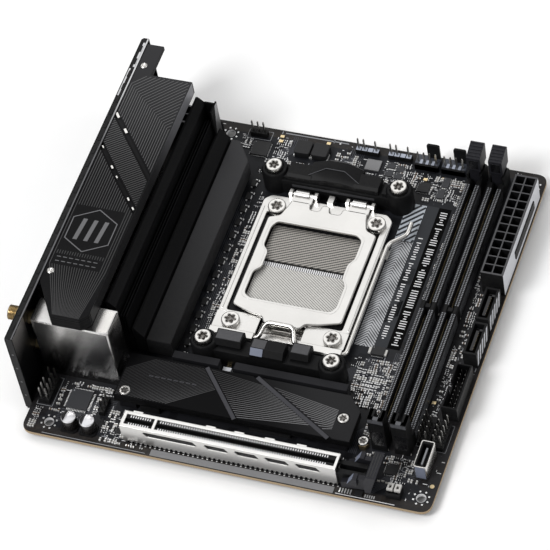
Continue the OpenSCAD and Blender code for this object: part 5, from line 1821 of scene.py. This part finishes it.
@dataclass(frozen=True)
class ExpansionSize:
    """Sizes of the expansion slot."""

    x: float = 42.8
    y: float = 4.2
    long: float = 89.4
    wide: float = 7.6
    tall: float = 12.8
    key: float = 55.6


class ExpansionSlot(Assembly[ExpansionSize]):
    """Expansion slot with its punched steel sleeve and end latch."""

    def build(self) -> None:
        """Build the slot, sleeve, contacts and latch."""
        self.slot()
        self.sleeve()
        self.contacts()
        self.latch()

    def slot(self) -> None:
        """Build the plastic body inside the sleeve and its free end."""
        s = self.size
        mid = s.y + s.wide / 2
        shape = Shape()
        for side in (-1, 1):
            y0 = mid + min(side * 3.25, side * 0.72)
            shape.box((s.x + 0.6, y0, TOP), (s.long - 1.2, 2.53, 10.6), Paint.PLASTIC)
            y0 = mid + min(side * 3.1, side * 1.02)
            shape.box((s.x + s.long, y0, TOP), (11.4, 2.08, 8.6), Paint.PLASTIC)
        shape.box((s.x + 0.6, mid - 1.05, TOP), (s.long + 10.6, 2.1, 2.0), Paint.PLASTIC)
        shape.box((s.key, mid - 1.05, TOP + 2), (1.6, 2.1, 8.5), Paint.PLASTIC)
        shape.box((s.x + s.long + 9.8, mid - 1.05, TOP + 2), (1.6, 2.1, 4.4), Paint.PLASTIC)
        self.shop.make("expansion_body", shape, replaces=("pcie_slot",), slot="black_plastic", bevel=0.12)

    def sleeve(self) -> None:
        """Build the folded sleeve: walls with pointed windows and a rimmed top."""
        s = self.size
        x0, x1 = s.x, s.x + s.long
        windows = [(x0 + 9.5, 22.4), (x0 + 35.1, 10), (x0 + 47.7, 10), (x0 + 60.2, 10), (x0 + 72.8, 10)]
        holes = []
        for x, w in windows:
            holes.append([(x, 10.4), (x + 1.5, 8.5), (x + w - 0.7, 8.5), (x + w, 9.3),
                          (x + w - 1.5, 11.2), (x + 0.7, 11.2)])
        wall = Shape()
        wall.plate(rectangle(x0, 2.4, s.long, s.tall - 2.4), 0, 0.5, Paint.SLEEVE, tuple(holes), edge=0.1)
        shape = Shape()
        for shift in (s.y, s.y + s.wide - 0.5):
            shape.stand(wall, Axis.Y, Paint.SLEEVE, shift)
        openings = (rectangle(x0 + 1.4, s.y + 1.5, s.key - x0 - 1.2, s.wide - 3.0),
                    rectangle(s.key + 1.4, s.y + 1.5, x1 - 2.6 - s.key, s.wide - 3.0))
        shape.plate(rectangle(x0, s.y, s.long, s.wide), s.tall - 0.5, s.tall, Paint.SLEEVE, openings,
                    edge=0.12)
        shape.boxes([(x0, s.y + 0.4, 2.4), (x1 - 0.5, s.y + 0.4, 2.4)],
                    [(0.5, s.wide - 0.8, s.tall - 2.6), (0.5, s.wide - 0.8, s.tall - 7)], Paint.SLEEVE)
        for x in (x0 + 5.4, x0 + 35.8, x0 + 47.6, x0 + 60.2, x0 + 73.3):
            shape.box((x - 2, s.y + s.wide - 0.3, s.tall - 0.9), (4, 0.9, 0.85), Paint.SLEEVE)
        dots = np.arange(x0 + 2, x1 - 1, 2.0)
        shape.boxes(spread(dots, s.y - 0.06, 2.3), (0.9, 0.3, 0.8), Paint.LABEL)
        shape.boxes(spread(dots + 1.1, s.y - 0.5, TOP), (0.6, 0.5, 0.25), Paint.SOLDER)
        self.shop.make("expansion_sleeve", shape, replaces=("pcie_armor",), slot="load_plate_steel",
                       bevel=0.08)

    def contacts(self) -> None:
        """Build both rows of spring contacts."""
        s = self.size
        mid = s.y + s.wide / 2
        shape = Shape()
        for side in (-1, 1):
            for low, high in ((s.x + 3, s.key - 1), (s.key + 2.6, s.x + s.long - 4)):
                x = np.arange(low, high, 1.0)
                shape.boxes(spread(x, mid + side * 0.85 - 0.15, 3.6), (0.6, 0.3, 6), Paint.GOLD)
                shape.boxes(spread(x, mid + side * 1.75 - 0.5, 12.14), (0.42, 1.0, 0.14), Paint.SILK)
        self.shop.make("expansion_contacts", shape, replaces=("pcie_contacts",), slot="gold_brass")

    def latch(self) -> None:
        """Build the winged end latch with its facets and finger plate."""
        s = self.size
        x = s.x + s.long
        mid = s.y + s.wide / 2
        shape = Shape()
        for side in (-1, 1):
            low, high = sorted((mid + side * 3.42, mid + side * 5.6))
            arm = [(x + 2.2, 4.4), (x + 12, 5.6), (x + 14.2, 8), (x + 14.2, 12.4), (x + 9, 12.4),
                   (x + 5.2, 9), (x + 2.2, 7.6)]
            shape.prism(arm, low, high, Paint.LATCH, Axis.Y)
            low, high = sorted((mid + side * 3.45, mid + side * 6.8))
            shape.prism([(x + 5.2, 8.8), (x + 9.4, 8.8), (x + 9.4, 12.9), (x + 7.6, 12.9)], low, high,
                        Paint.LATCH, Axis.Y)
            # Painted reflection: blue-grey slabs on the latch's slanted faces.
            shape.prism([(x + 5.1, 8.9), (x + 5.3, 8.7), (x + 7.8, 12.7), (x + 7.5, 12.95)],
                        low + 0.3, high - 0.3, Paint.FACET, Axis.Y)
            start = mid + side * 2.7 - (1.2 if side < 0 else 0)
            shape.turned((137.5, start, 5.5), [(0.99, 0), (0.99, 1.2)], Paint.LATCH, 18, Axis.Y)
        finger = [(x + 12, 5), (x + 14.2, 5), (x + 17.3, 15.5), (x + 13.3, 15.5), (x + 12, 12)]
        shape.prism(finger, mid - 6.4, mid + 6.4, Paint.LATCH, Axis.Y)
        for k in range(3):
            shape.box((x + 13.6 + k * 1.1, mid - 5.6, 15.45), (0.5, 11.2, 0.14), Paint.GLOSS)
        self.shop.make("expansion_latch", shape, Body.HOOK, ("pcie_latch",), "latch_plastic", bevel=0.2)


@dataclass(frozen=True)
class StorageSize:
    """Sizes of the flat storage cooler."""

    x: float = 34.6
    y: float = 18.9
    long: float = 98.4
    wide: float = 21.2
    top: float = 11.0
    thick: float = 4.0
    grooves: tuple = ((66.9, 85.5), (88.1, 124.2))
    slant: float = 0.64


class StorageCooler(Assembly[StorageSize]):
    """Flat storage cooler, its rails, screws and standoff."""

    def build(self) -> None:
        """Build the cooler and everything that belongs to it."""
        self.cooler()
        self.engraving()
        self.rails()
        self.fasteners()

    def corners(self) -> tuple[float, float, float, float]:
        """Give the cooler's sides.

        Returns:
            Low X, low Y, high X and high Y.
        """
        s = self.size
        return s.x, s.y, s.x + s.long, s.y + s.wide

    def spots(self) -> tuple[Pair, Pair]:
        """Give the places of the two screws.

        Returns:
            X and Y of each.
        """
        s = self.size
        return (s.x + 3.8, s.y + 3.1), (s.x + 92.8, s.y + 10.2)

    def cooler(self) -> None:
        """Build the block and its top, split in three by two slanted grooves."""
        s = self.size
        x0, y0, x1, y1 = self.corners()
        shape = Shape()
        outline = [(x0, y0), (x1, y0), (x1, y1 - 6.6), (x1 - 6, y1), (x0, y1)]
        bores = tuple(circle(x, y, 1.35, 20) for x, y in self.spots())
        shape.plate(outline, s.top - s.thick, s.top - 0.45, Paint.COOLER, bores, edge=0.12)
        (far_a, near_a), (far_b, near_b) = s.grooves
        for far, near in s.grooves:
            shape.path([(far, y1), (near, y0)], 1.7, s.top - 0.5, s.top - 0.3, Paint.GROOVE)
        g = 1.1
        wide = g * 1.6
        wells = [(circle(x, y, 2.6, 28),) for x, y in self.spots()]
        # Top pieces: black with a painted sheen towards the far right end.
        for part, holes in (([(x0, y0), (near_a - g, y0), (far_a - g, y1), (x0, y1)], wells[0]),
                            ([(near_a + g, y0), (near_b - wide, y0), (far_b - wide, y1),
                              (far_a + g, y1)], ()), ([(near_b + wide, y0), (x1, y0), (x1, y1 - 6.6),
                                                       (x1 - 6, y1), (far_b + wide, y1)], wells[1])):
            shape.plate(part, s.top - 0.5, s.top, Paint.FLAT_TOP, holes, edge=0.15)
        self.shop.make("storage_cooler", shape, replaces=("m2_heatsink",), slot="anodised_black")

    def engraving(self) -> None:
        """Cut three fans of fine lines and a row of dashes."""
        s = self.size
        x0, y0, x1, y1 = self.corners()
        (far_a, near_a), (far_b, near_b) = s.grooves
        lean_a = (near_a - far_a) / (y0 - y1)
        lean_b = (near_b - far_b) / (y0 - y1)
        lines = Shape()
        # The fan lines brighten towards the near right corner as a painted highlight.
        cut = (0.26, s.top - SUNK, s.top + PROUD, Paint.FAN_LINE)
        y = np.linspace(y0 - 13.0, y1 - 8.0, 32)
        first = np.maximum(x0 + 0.6, x0 + 0.6 + (y0 + 0.6 - y) / s.slant)
        low = spread(first, np.maximum(y, y0 + 0.6))
        last = (far_a - 1.6 + lean_a * (low[:, 1] - s.slant * first - y1)) / (1 - s.slant * lean_a)
        last = np.minimum(last, first + (y1 - 1.0 - low[:, 1]) / s.slant)
        lines.bars(low, spread(last, low[:, 1] + s.slant * (last - first)), *cut)
        y = np.linspace(y1 - 0.9, y0 + 0.9, 22)
        far = y1 - 3.6 - (y1 - 0.9 - y) * 0.7
        lines.bars(spread(far_a + 1.6 + lean_a * (y - y1), y),
                   spread(far_b - 2.2 + lean_b * (far - y1), far), *cut)
        y = np.linspace(y1 - 3.4, y0 + 2.4, 15)
        far = y1 - 8.0 - (y1 - 3.4 - y) * 0.62
        start = spread(far_b + 2.6 + lean_b * (y - y1), y)
        keep = start[:, 0] < x1 - 12
        lines.bars(start[keep], spread(x1 - 8.4, far)[keep], *cut)
        dashes = spread(x0 + 11 + np.arange(8) * 2.6, y1 - 9.5, s.top - SUNK)
        lines.boxes(dashes, (1.8, 0.5, 0.03), Paint.GROOVE)
        self.shop.make("storage_engraving", lines, slot="anodised_black")

    def rails(self) -> None:
        """Build the rails behind the cooler, the blocks under it and a small plug."""
        s = self.size
        x0, y0, _, y1 = self.corners()
        rails = Shape()
        for x, w in ((51, 19.6), (77, 47.4)):
            rails.plate(rounded(rectangle(x, y1 + 2.2, w, 3.4), 0.4), SEAT, TOP + 8.4, Paint.RAIL,
                        edge=0.2)
        for spot, x, w, h in zip(self.spots(), (x0 + 1, x0 + 88), (7, 8), (s.wide - 3, 14)):
            rails.plate(rectangle(x, y0 + 1.5, w, h), SEAT, s.top - s.thick, Paint.RAIL,
                        (circle(*spot, 1.25, 20),), edge=0.1)
        rails.box((71.2, 42.6, TOP), (3.4, 3.0, 3.6), Paint.PALE_GREY)
        rails.boxes(spread(np.arange(71.2, 76.8, 1.8), 43.0, TOP), (1.2, 2.2, 0.9), Paint.SOLDER)
        self.shop.make("storage_rails", rails, replaces=("m2_rails",), slot="rail_finish")

    def fasteners(self) -> None:
        """Build the two screws and the standoff beyond the cooler."""
        s = self.size
        screws = Shape()
        for x, y in self.spots():
            screws.star_screw(x, y, s.top - 1.4, 2.35, 1.5)
            screws.turned((x, y, 2.6), [(1.2, 0), (1.2, s.top - 4.0)], Paint.STEEL, 18)
        self.shop.make("storage_screws", screws, replaces=("m2_screws",), slot="bright_steel")
        post = Shape()
        post.turned((136.2, 24.6, SEAT), [(2.4, 0), (2.4, 2.2), (2.2, 2.4)], Paint.GOLD, 6)
        post.star_screw(136.2, 24.6, TOP + 2.4, 2.2, 1.0)
        self.shop.make("storage_post", post, replaces=("m2_standoff",), slot="bright_steel")


# ---- Plugs along the edges ----


@dataclass(frozen=True)
class PlugSize:
    """Sizes that the plugs and headers share."""

    cell: float = 4.2
    power_top: float = 14.4
    port_top: float = 8.4
    fans: Pair = (114.9, 126.4)


class EdgeConnectors(Assembly[PlugSize]):
    """Power receptacles, data ports, headers and their pins."""

    def build(self) -> None:
        """Build every connector on the board's edges."""
        self.power("main_power", "atx_connector", (160.2, 107.0), 2, 12)
        self.power("processor_power", "eps_connector", (8.4, 155.4), 4, 2)
        self.storage_ports()
        self.front_usb()
        self.fans()
        self.headers()
        self.small_plugs()

    def power(self, name: str, node: str, at: Pair, columns: int, rows: int) -> None:
        """Build a power receptacle of open cells.

        Args:
            name: Name of the piece.
            node: CAD node it stands for.
            at: Lowest corner.
            columns: Cells along X.
            rows: Cells along Y.
        """
        x, y = at
        cell, top = self.size.cell, self.size.power_top
        w, h = columns * cell + 1.0, rows * cell + 1.2
        shape = Shape()
        holes, rims = [], []
        for i in range(columns):
            for j in range(rows):
                cx, cy = x + 0.8 + i * cell, y + 0.9 + j * cell
                square = rectangle(cx, cy, 3.6, 3.6)
                holes.append(rounded(square, 0.8, 3) if (i * 3 + j) % 4 in (0, 3) else square)
                rims.append(rectangle(cx - 0.05, cy - 0.05, 3.7, 3.7))
        shape.plate(rectangle(x, y, w, h), TOP + 1.4, top, Paint.PLASTIC, tuple(holes), edge=0.15)
        shape.plate(rectangle(x, y, w, h), SEAT, TOP + 1.5, Paint.PLASTIC, edge=0.1)
        if columns == 2:
            shape.prism([(x + w - 0.05, 7), (x + w + 0.45, 7), (x + w + 0.45, 8.2),
                         (x + w - 0.05, 8.8)], y + 17, y + 42, Paint.PLASTIC, Axis.Y)
            marks = np.arange(y + 1.3, y + h - 2, cell)
            shape.boxes(spread(x + w - 0.03, marks + 0.4, 10.6), (0.05, 2.4, 2.2), Paint.GLOSS)
            # Painted reflection: a pale sheet on the receptacle's outer side.
            shape.box((x + w - 0.02, y + 0.2, TOP + 0.2), (0.06, h - 0.4, 12.3), Paint.PALE_GREY)
            shape.box((x + w, y + 16, 5.4), (0.5, 27, 4.4), Paint.PLASTIC)
        # Painted highlight: a thin grey grid on the cell rims.
        shape.plate(rectangle(x + 0.05, y + 0.05, w - 0.1, h - 0.1), 14.3, 14.42, Paint.RIM,
                    tuple(rims), edge=0.03)
        self.shop.make(name, shape, replaces=(node,), slot="black_plastic")

    def storage_ports(self) -> None:
        """Build the two upright serial storage ports."""
        shape = Shape()
        for y in (70.4, 87.9):
            shape.plate(rectangle(163.3, y, 5.7, 16), SEAT, TOP + self.size.port_top, Paint.PLASTIC,
                        (rectangle(164.2, y + 1, 3.9, 14),), edge=0.15)
            shape.box((164.1, y + 0.9, TOP + 0.04), (4.1, 14.2, 2.1), Paint.PLASTIC)
            shape.box((165.4, y + 2.6, TOP + 2), (1.2, 10.6, 5.4), Paint.GLOSS)
            shape.box((165.4, y + 12.4, TOP + 2), (2.4, 0.9, 5.4), Paint.GLOSS)
            pads = y + 3.4 + np.arange(7) * 1.27
            shape.boxes(spread(166.58, pads, TOP + 3), (0.08, 0.7, 4.2), Paint.GOLD)
            # Painted reflections: pale slanted stripes on the ports' outer side.
            for k in range(5):
                a = y + 0.4 + k * 2.9
                shape.prism([(a, 2.4), (a + 1.3, 2.4), (a + 2.9, 9.7), (a + 1.6, 9.7)], 168.99, 169.04,
                            Paint.PALE_GREY, Axis.X)
        self.shop.make("storage_ports", shape, replaces=("sata_ports",), slot="black_plastic")

    def front_usb(self) -> None:
        """Build the shrouded front USB header and the upright USB-C header."""
        shape = Shape()
        x, y = 162.5, 43.6
        outer = [(x, y), (x + 6.4, y), (x + 6.4, y + 21.8), (x, y + 21.8), (x, y + 13.2),
                 (x + 0.7, y + 13.2), (x + 0.7, y + 21.1), (x + 5.7, y + 21.1), (x + 5.7, y + 0.7),
                 (x + 0.7, y + 0.7), (x + 0.7, y + 9), (x, y + 9)]
        shape.plate(outer, TOP + 4, TOP + self.size.port_top, Paint.PLASTIC, edge=0.12)
        shape.plate(rectangle(x, y, 6.4, 21.8), TOP + 1.3, TOP + 4.1, Paint.PLASTIC,
                    (rectangle(x + 0.7, y + 0.7, 5, 20.4),), edge=0.1)
        shape.plate(rectangle(x, y, 6.4, 21.8), SEAT, TOP + 1.4, Paint.PLASTIC, edge=0.1)
        self.shop.make("front_usb_header", shape, replaces=("usb3_header",), slot="black_plastic")
        shell = Shape()
        ring = rounded(rectangle(160, 14.6, 5.4, 12.6), 1.0)
        shell.plate(ring, TOP + 0.8, TOP + self.size.port_top, Paint.STEEL,
                    (rounded(rectangle(160.4, 15.0, 4.6, 11.8), 0.7),), edge=0.12)
        shell.plate(ring, SEAT, TOP + 0.9, Paint.DARK_STEEL, edge=0.1)
        inner = rounded(rectangle(160.42, 15.02, 4.56, 11.76), 0.6)
        shell.plate(inner, TOP + 0.9, TOP + 8.0, Paint.PLASTIC, (rectangle(160.9, 15.8, 3.6, 10.2),),
                    edge=0.05)
        shell.box((162.4, 17, TOP + 0.8), (0.7, 7.8, 6.2), Paint.TICK)
        # Painted reflection: a blue-grey sheet on the shell's front.
        shell.box((160.7, 14.56, TOP + 0.9), (4.0, 0.06, 7.2), Paint.FACET)
        self.shop.make("front_usb_c_header", shell, replaces=("front_usb_c",), slot="port_steel")

    def fans(self) -> None:
        """Build the two fan headers with their guide tabs."""
        shape = Shape()
        for x in self.size.fans:
            shape.box((x, 162, SEAT), (10.2, 5.8, 3), Paint.SLATE)
            shape.box((x, 162, SEAT), (10.2, 1.0, 3.1), Paint.PLASTIC)
            shape.boxes([(x + 1.9 + k * PITCH, 162.9, TOP + 3.0) for k in range(3)], (1.2, 2.4, 0.1),
                        Paint.PALE_BLUE)
            shape.prism([(x + 4.6, TOP + 2.9), (x + 10, TOP + 2.9), (x + 10, 12.2), (x + 9.4, 12.6),
                         (x + 5.2, 12.6), (x + 4.6, 12.0)], 166.8, 167.8, Paint.PLASTIC, Axis.Y)
        self.shop.make("fan_header_bodies", shape, replaces=("fan_headers",), slot="black_plastic",
                       bevel=0.1)

    def headers(self) -> None:
        """Build the pin headers: notched bases and tapered square pins."""
        groups = ((42.9, 165.6, 3, 1, ()), (89.6, 165.8, 4, 1, (2,)), (103.8, 165.8, 4, 1, (2,)),
                  (3.8, 15.6, 2, 5, (3,)), (157.6, 30.6, 2, 5, (9,)), (163.6, 29.8, 2, 5, (4,)),
                  (30, 15.2, 1, 3, ()))
        bases, pins = Shape(), Shape()
        spots = []
        for x, y, nx, ny, skip in groups:
            place = grid(x, y, nx, ny, PITCH)
            bases.boxes(spread(place - 1.2, SEAT), (2.4, 2.4, 2.5), Paint.PLASTIC)
            bases.box((x - 1.1, y - 1.1, SEAT), (nx * PITCH - 0.34, ny * PITCH - 0.34, 2.3),
                      Paint.PLASTIC)
            if ny == 1 and nx == 4:
                cells = x - 1.1 + np.arange(4) * PITCH
                bases.boxes(spread(cells, y - 1.0, TOP + 2.4), (2.2, 2.0, 0.16), Paint.PALE_BLUE)
            spots.append(np.delete(place, skip, axis=0))
        for x in self.size.fans:
            spots.append(spread(x + 1.29 + np.arange(4) * PITCH, 164.2))
        self.pins(pins, np.vstack(spots), 0.64, TOP, 10.6)
        self.pins(pins, grid(164.9, 45.7, 2, 10, 2)[1:], 0.4, TOP + 1.4, TOP + 6.4)
        self.shop.make("header_blocks", bases, replaces=("header_bases",), slot="black_plastic",
                       bevel=0.12)
        self.shop.make("header_pin_rows", pins, replaces=("header_pins",), slot="pin_metal")
        power = Shape()
        main = grid(162.8, 109.7, 2, 12, self.size.cell)
        aux = grid(11, 158.1, 4, 2, self.size.cell)
        self.pins(power, np.vstack([main, aux]), 1.0, TOP + 1.5, TOP + 7.6)
        self.shop.make("power_pin_rows", power, replaces=("power_pins",), slot="gold_brass")

    @staticmethod
    def pins(shape: Shape, places: np.ndarray, wide: float, low: float, high: float) -> None:
        """Add square pins whose tips taper.

        Args:
            shape: Shape that takes the pins.
            places: Middle of each pin.
            wide: Width of a pin.
            low: Foot.
            high: Tip.
        """
        base = CUBE * (1.0, 1.0, 0.0) - (0.5, 0.5, 0.0)
        ring = base[:4, :2]
        levels = ((low, 1.0), (high - 0.8, 1.0), (high, 0.45))
        unit = np.vstack([spread(ring * wide * k, z) for z, k in levels])
        points = unit[None] + spread(places, 0.0)[:, None]
        sides = [[3, 2, 1, 0], [8, 9, 10, 11]]
        for k in (0, 4):
            sides += [[k + a, k + (a + 1) % 4, k + 4 + (a + 1) % 4, k + 4 + a] for a in range(4)]
        every = (np.arange(len(places)) * 12)[:, None, None] + np.array(sides)[None]
        shape.add(points.reshape(-1, 3), list(every.reshape(-1, 4)), Paint.PIN)

    def small_plugs(self) -> None:
        """Build the battery plug, the audio capacitors and the two coils."""
        shape = Shape()
        shape.plate(rectangle(151.8, 3.2, 5.8, 4.6), SEAT, TOP + 3.2, Paint.PLASTIC,
                    (rectangle(152.5, 3.9, 4.4, 3.2),), edge=0.12)
        shape.box((152.4, 3.8, TOP + 0.04), (4.6, 3.4, 1.0), Paint.PLASTIC)
        for x in (152.0, 155.0):
            shape.plate(rectangle(x, 4.6, 2.4, 3.1), TOP + 3.1, TOP + 4.6, Paint.PALE,
                        (rectangle(x + 0.7, 5.3, 1.0, 1.5),), edge=0.12)
            shape.box((x + 0.95, 5.6, TOP + 1), (0.5, 0.5, 2.6), Paint.PIN)
        self.shop.make("battery_plug", shape, replaces=("battery_connector",), slot="pale_plastic")
        cans = Shape()
        for x, y in ((19.7, 6.2), (27.6, 6.2)):
            cans.plate([(x - 3.25, y - 3.25), (x + 2.2, y - 3.25), (x + 3.25, y - 2.2),
                        (x + 3.25, y + 2.2), (x + 2.2, y + 3.25), (x - 3.25, y + 3.25)], SEAT,
                       TOP + 0.9, Paint.PLASTIC, edge=0.1)
            cans.turned((x, y, TOP), [(2.9, 0.8), (2.9, 1.4), (3.1, 1.8), (3.1, 6.3), (3.04, 6.7)],
                        Paint.CAN_SIDE, 36)
            cans.turned((x, y, TOP + 6.6), [(3.06, 0), (3.0, 0.3), (2.7, 0.42)], Paint.ALUMINIUM, 36)
            half = circle(x, y, 2.75, 40)
            cans.plate(half[half[:, 0] < x - 0.9], TOP + 6.99, TOP + 7.04, Paint.CHIP, edge=0.01)
        self.shop.make("audio_cans", cans, replaces=("audio_capacitors",), slot="can_aluminium")
        coils = Shape()
        for x in (63.2, 70.8):
            coils.plate(rounded(rectangle(x, 157.5, 7, 7), 1.2), SEAT, TOP + 3.2, Paint.CHIP, edge=0.35)
            coils.boxes([(x - 0.2, 157.6, TOP), (x + 6.7, 157.6, TOP)], (0.5, 3.6, 0.8), Paint.SOLDER)
        self.shop.make("board_coils", coils, replaces=("power_coils",), slot="ferrite")


class HiddenParts:
    """Finishes for the CAD nodes that are shown as they are."""

    PLAIN = {"thermal_pads": Paint.PADS, "vrm_chokes": Paint.CHIP_GREY, "vrm_mosfets": Paint.CHIP,
             "heatsink_screws": Paint.STEEL, "wifi_card": Paint.CARD, "wifi_socket": Paint.PLASTIC,
             "audio_jacks": Paint.PLASTIC, "lan_usb_shell": Paint.STEEL, "usb_stack_shell": Paint.STEEL,
             "usb_c_ports": Paint.STEEL, "display_shell": Paint.STEEL, "port_inserts": Paint.BLUE,
             "button_housing": Paint.PLASTIC, "flash_button": Paint.PALE,
             "socket_backplate": Paint.SHIELD, "m2_socket": Paint.PLASTIC, "chipset": Paint.CHIP,
             "solder_tails": Paint.SOLDER, }

    def dress(self, frame: dict) -> None:
        """Give each carried-over node its finish.

        Args:
            frame: The loaded frame.
        """
        for node, paint in self.PLAIN.items():
            made = frame["nodes"][node]
            made.data.materials.clear()
            made.data.materials.append(paint.material())


# ---- Studio ----


@dataclass(frozen=True)
class CameraPlace:
    """The camera's place, worked out in board millimetres and degrees."""

    azimuth: float = 28.03
    elevation: float = 51.61
    roll: float = -12.04
    target: Triple = (74.77, 97.43, 0.0)
    distance: float = 1323.73
    lens: float = 212.9


class Studio:
    """Camera, lights, floor and world."""

    def __init__(self, shop: Workshop, place: CameraPlace) -> None:
        """Keep the tools and the camera's place.

        Args:
            shop: Workshop, for the board's shift.
            place: Camera place.
        """
        self.shop = shop
        self.place = place

    def build(self) -> None:
        """Set the camera, the lights, the world and the floor."""
        self.camera()
        self.world()
        self.lights()
        self.floor()

    def camera(self) -> None:
        """Place the camera and turn it to its roll."""
        p = self.place
        a, e, r = (math.radians(v) for v in (p.azimuth, p.elevation, p.roll))
        back = Vector((math.sin(a) * math.cos(e), -math.cos(a) * math.cos(e), math.sin(e)))
        right = (-back).cross(Vector((0, 0, 1))).normalized()
        up = right.cross(-back)
        side = right * math.cos(r) + up * math.sin(r)
        head = up * math.cos(r) - right * math.sin(r)
        data = bpy.data.cameras.new("camera")
        data.lens = p.lens
        data.sensor_width = 36.0
        data.clip_start, data.clip_end = 0.05, 20.0
        made = bpy.data.objects.new("camera", data)
        bpy.context.scene.collection.objects.link(made)
        target = Vector(p.target) * MM + Vector(self.shop.shift)
        place = target + back * p.distance * MM
        rows = ((side.x, head.x, back.x, place.x), (side.y, head.y, back.y, place.y),
                (side.z, head.z, back.z, place.z), (0, 0, 0, 1))
        made.matrix_world = Matrix(rows)
        bpy.context.scene.camera = made

    @staticmethod
    def world() -> None:
        """Set a plain pale world."""
        world = bpy.data.worlds.new("studio")
        world.use_nodes = True
        back = world.node_tree.nodes["Background"]
        back.inputs["Color"].default_value = (1.0, 1.0, 1.0, 1.0)
        back.inputs["Strength"].default_value = 0.42
        bpy.context.scene.world = world
        bpy.context.scene.view_settings.view_transform = "Standard"

    @staticmethod
    def lights() -> None:
        """Set large soft panels above, behind and beside the board."""
        panels = (("sky", (-0.5, 0.95, 1.25), 1.7, 9.5), ("key", (-0.55, -0.75, 1.3), 0.6, 17.0),
                  ("side", (1.3, 0.3, 0.9), 0.8, 4.0))
        for name, place, size, power in panels:
            data = bpy.data.lights.new(name, "AREA")
            data.size = size
            data.energy = power
            made = bpy.data.objects.new(name, data)
            made.location = place
            aim = Vector((0.07, 0.09, 0.0)) - Vector(place)
            made.rotation_euler = aim.to_track_quat("-Z", "Y").to_euler()
            bpy.context.scene.collection.objects.link(made)

    def floor(self) -> None:
        """Lay a wide pale floor under the lowest level."""
        mesh = bpy.data.meshes.new("floor")
        z = FLOOR_LEVEL * MM
        corners = [(-3, -3, z), (3, -3, z), (3, 3, z), (-3, 3, z)]
        mesh.from_pydata(corners, [], [(0, 1, 2, 3)])
        mesh.materials.append(Paint.FLOOR.material())
        made = bpy.data.objects.new("floor", mesh)
        bpy.context.scene.collection.objects.link(made)


def main() -> None:
    """Build the motherboard's looks and its studio."""
    logging.basicConfig(level=logging.INFO, format="%(message)s")
    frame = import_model()
    shop = Workshop()
    for part in (Board(shop, BoardSize()), RearPorts(shop, RearSize()),
                 PowerCooler(shop, CoolerSize()), ProcessorSocket(shop, SocketSize()),
                 MemorySlots(shop, MemorySize()), ExpansionSlot(shop, ExpansionSize()),
                 StorageCooler(shop, StorageSize()), EdgeConnectors(shop, PlugSize())):
        part.build()
        LOG.info("built %s", type(part).__name__)
    HiddenParts().dress(frame)
    Studio(shop, CameraPlace()).build()
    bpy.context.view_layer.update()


if __name__ == "__main__":
    main()
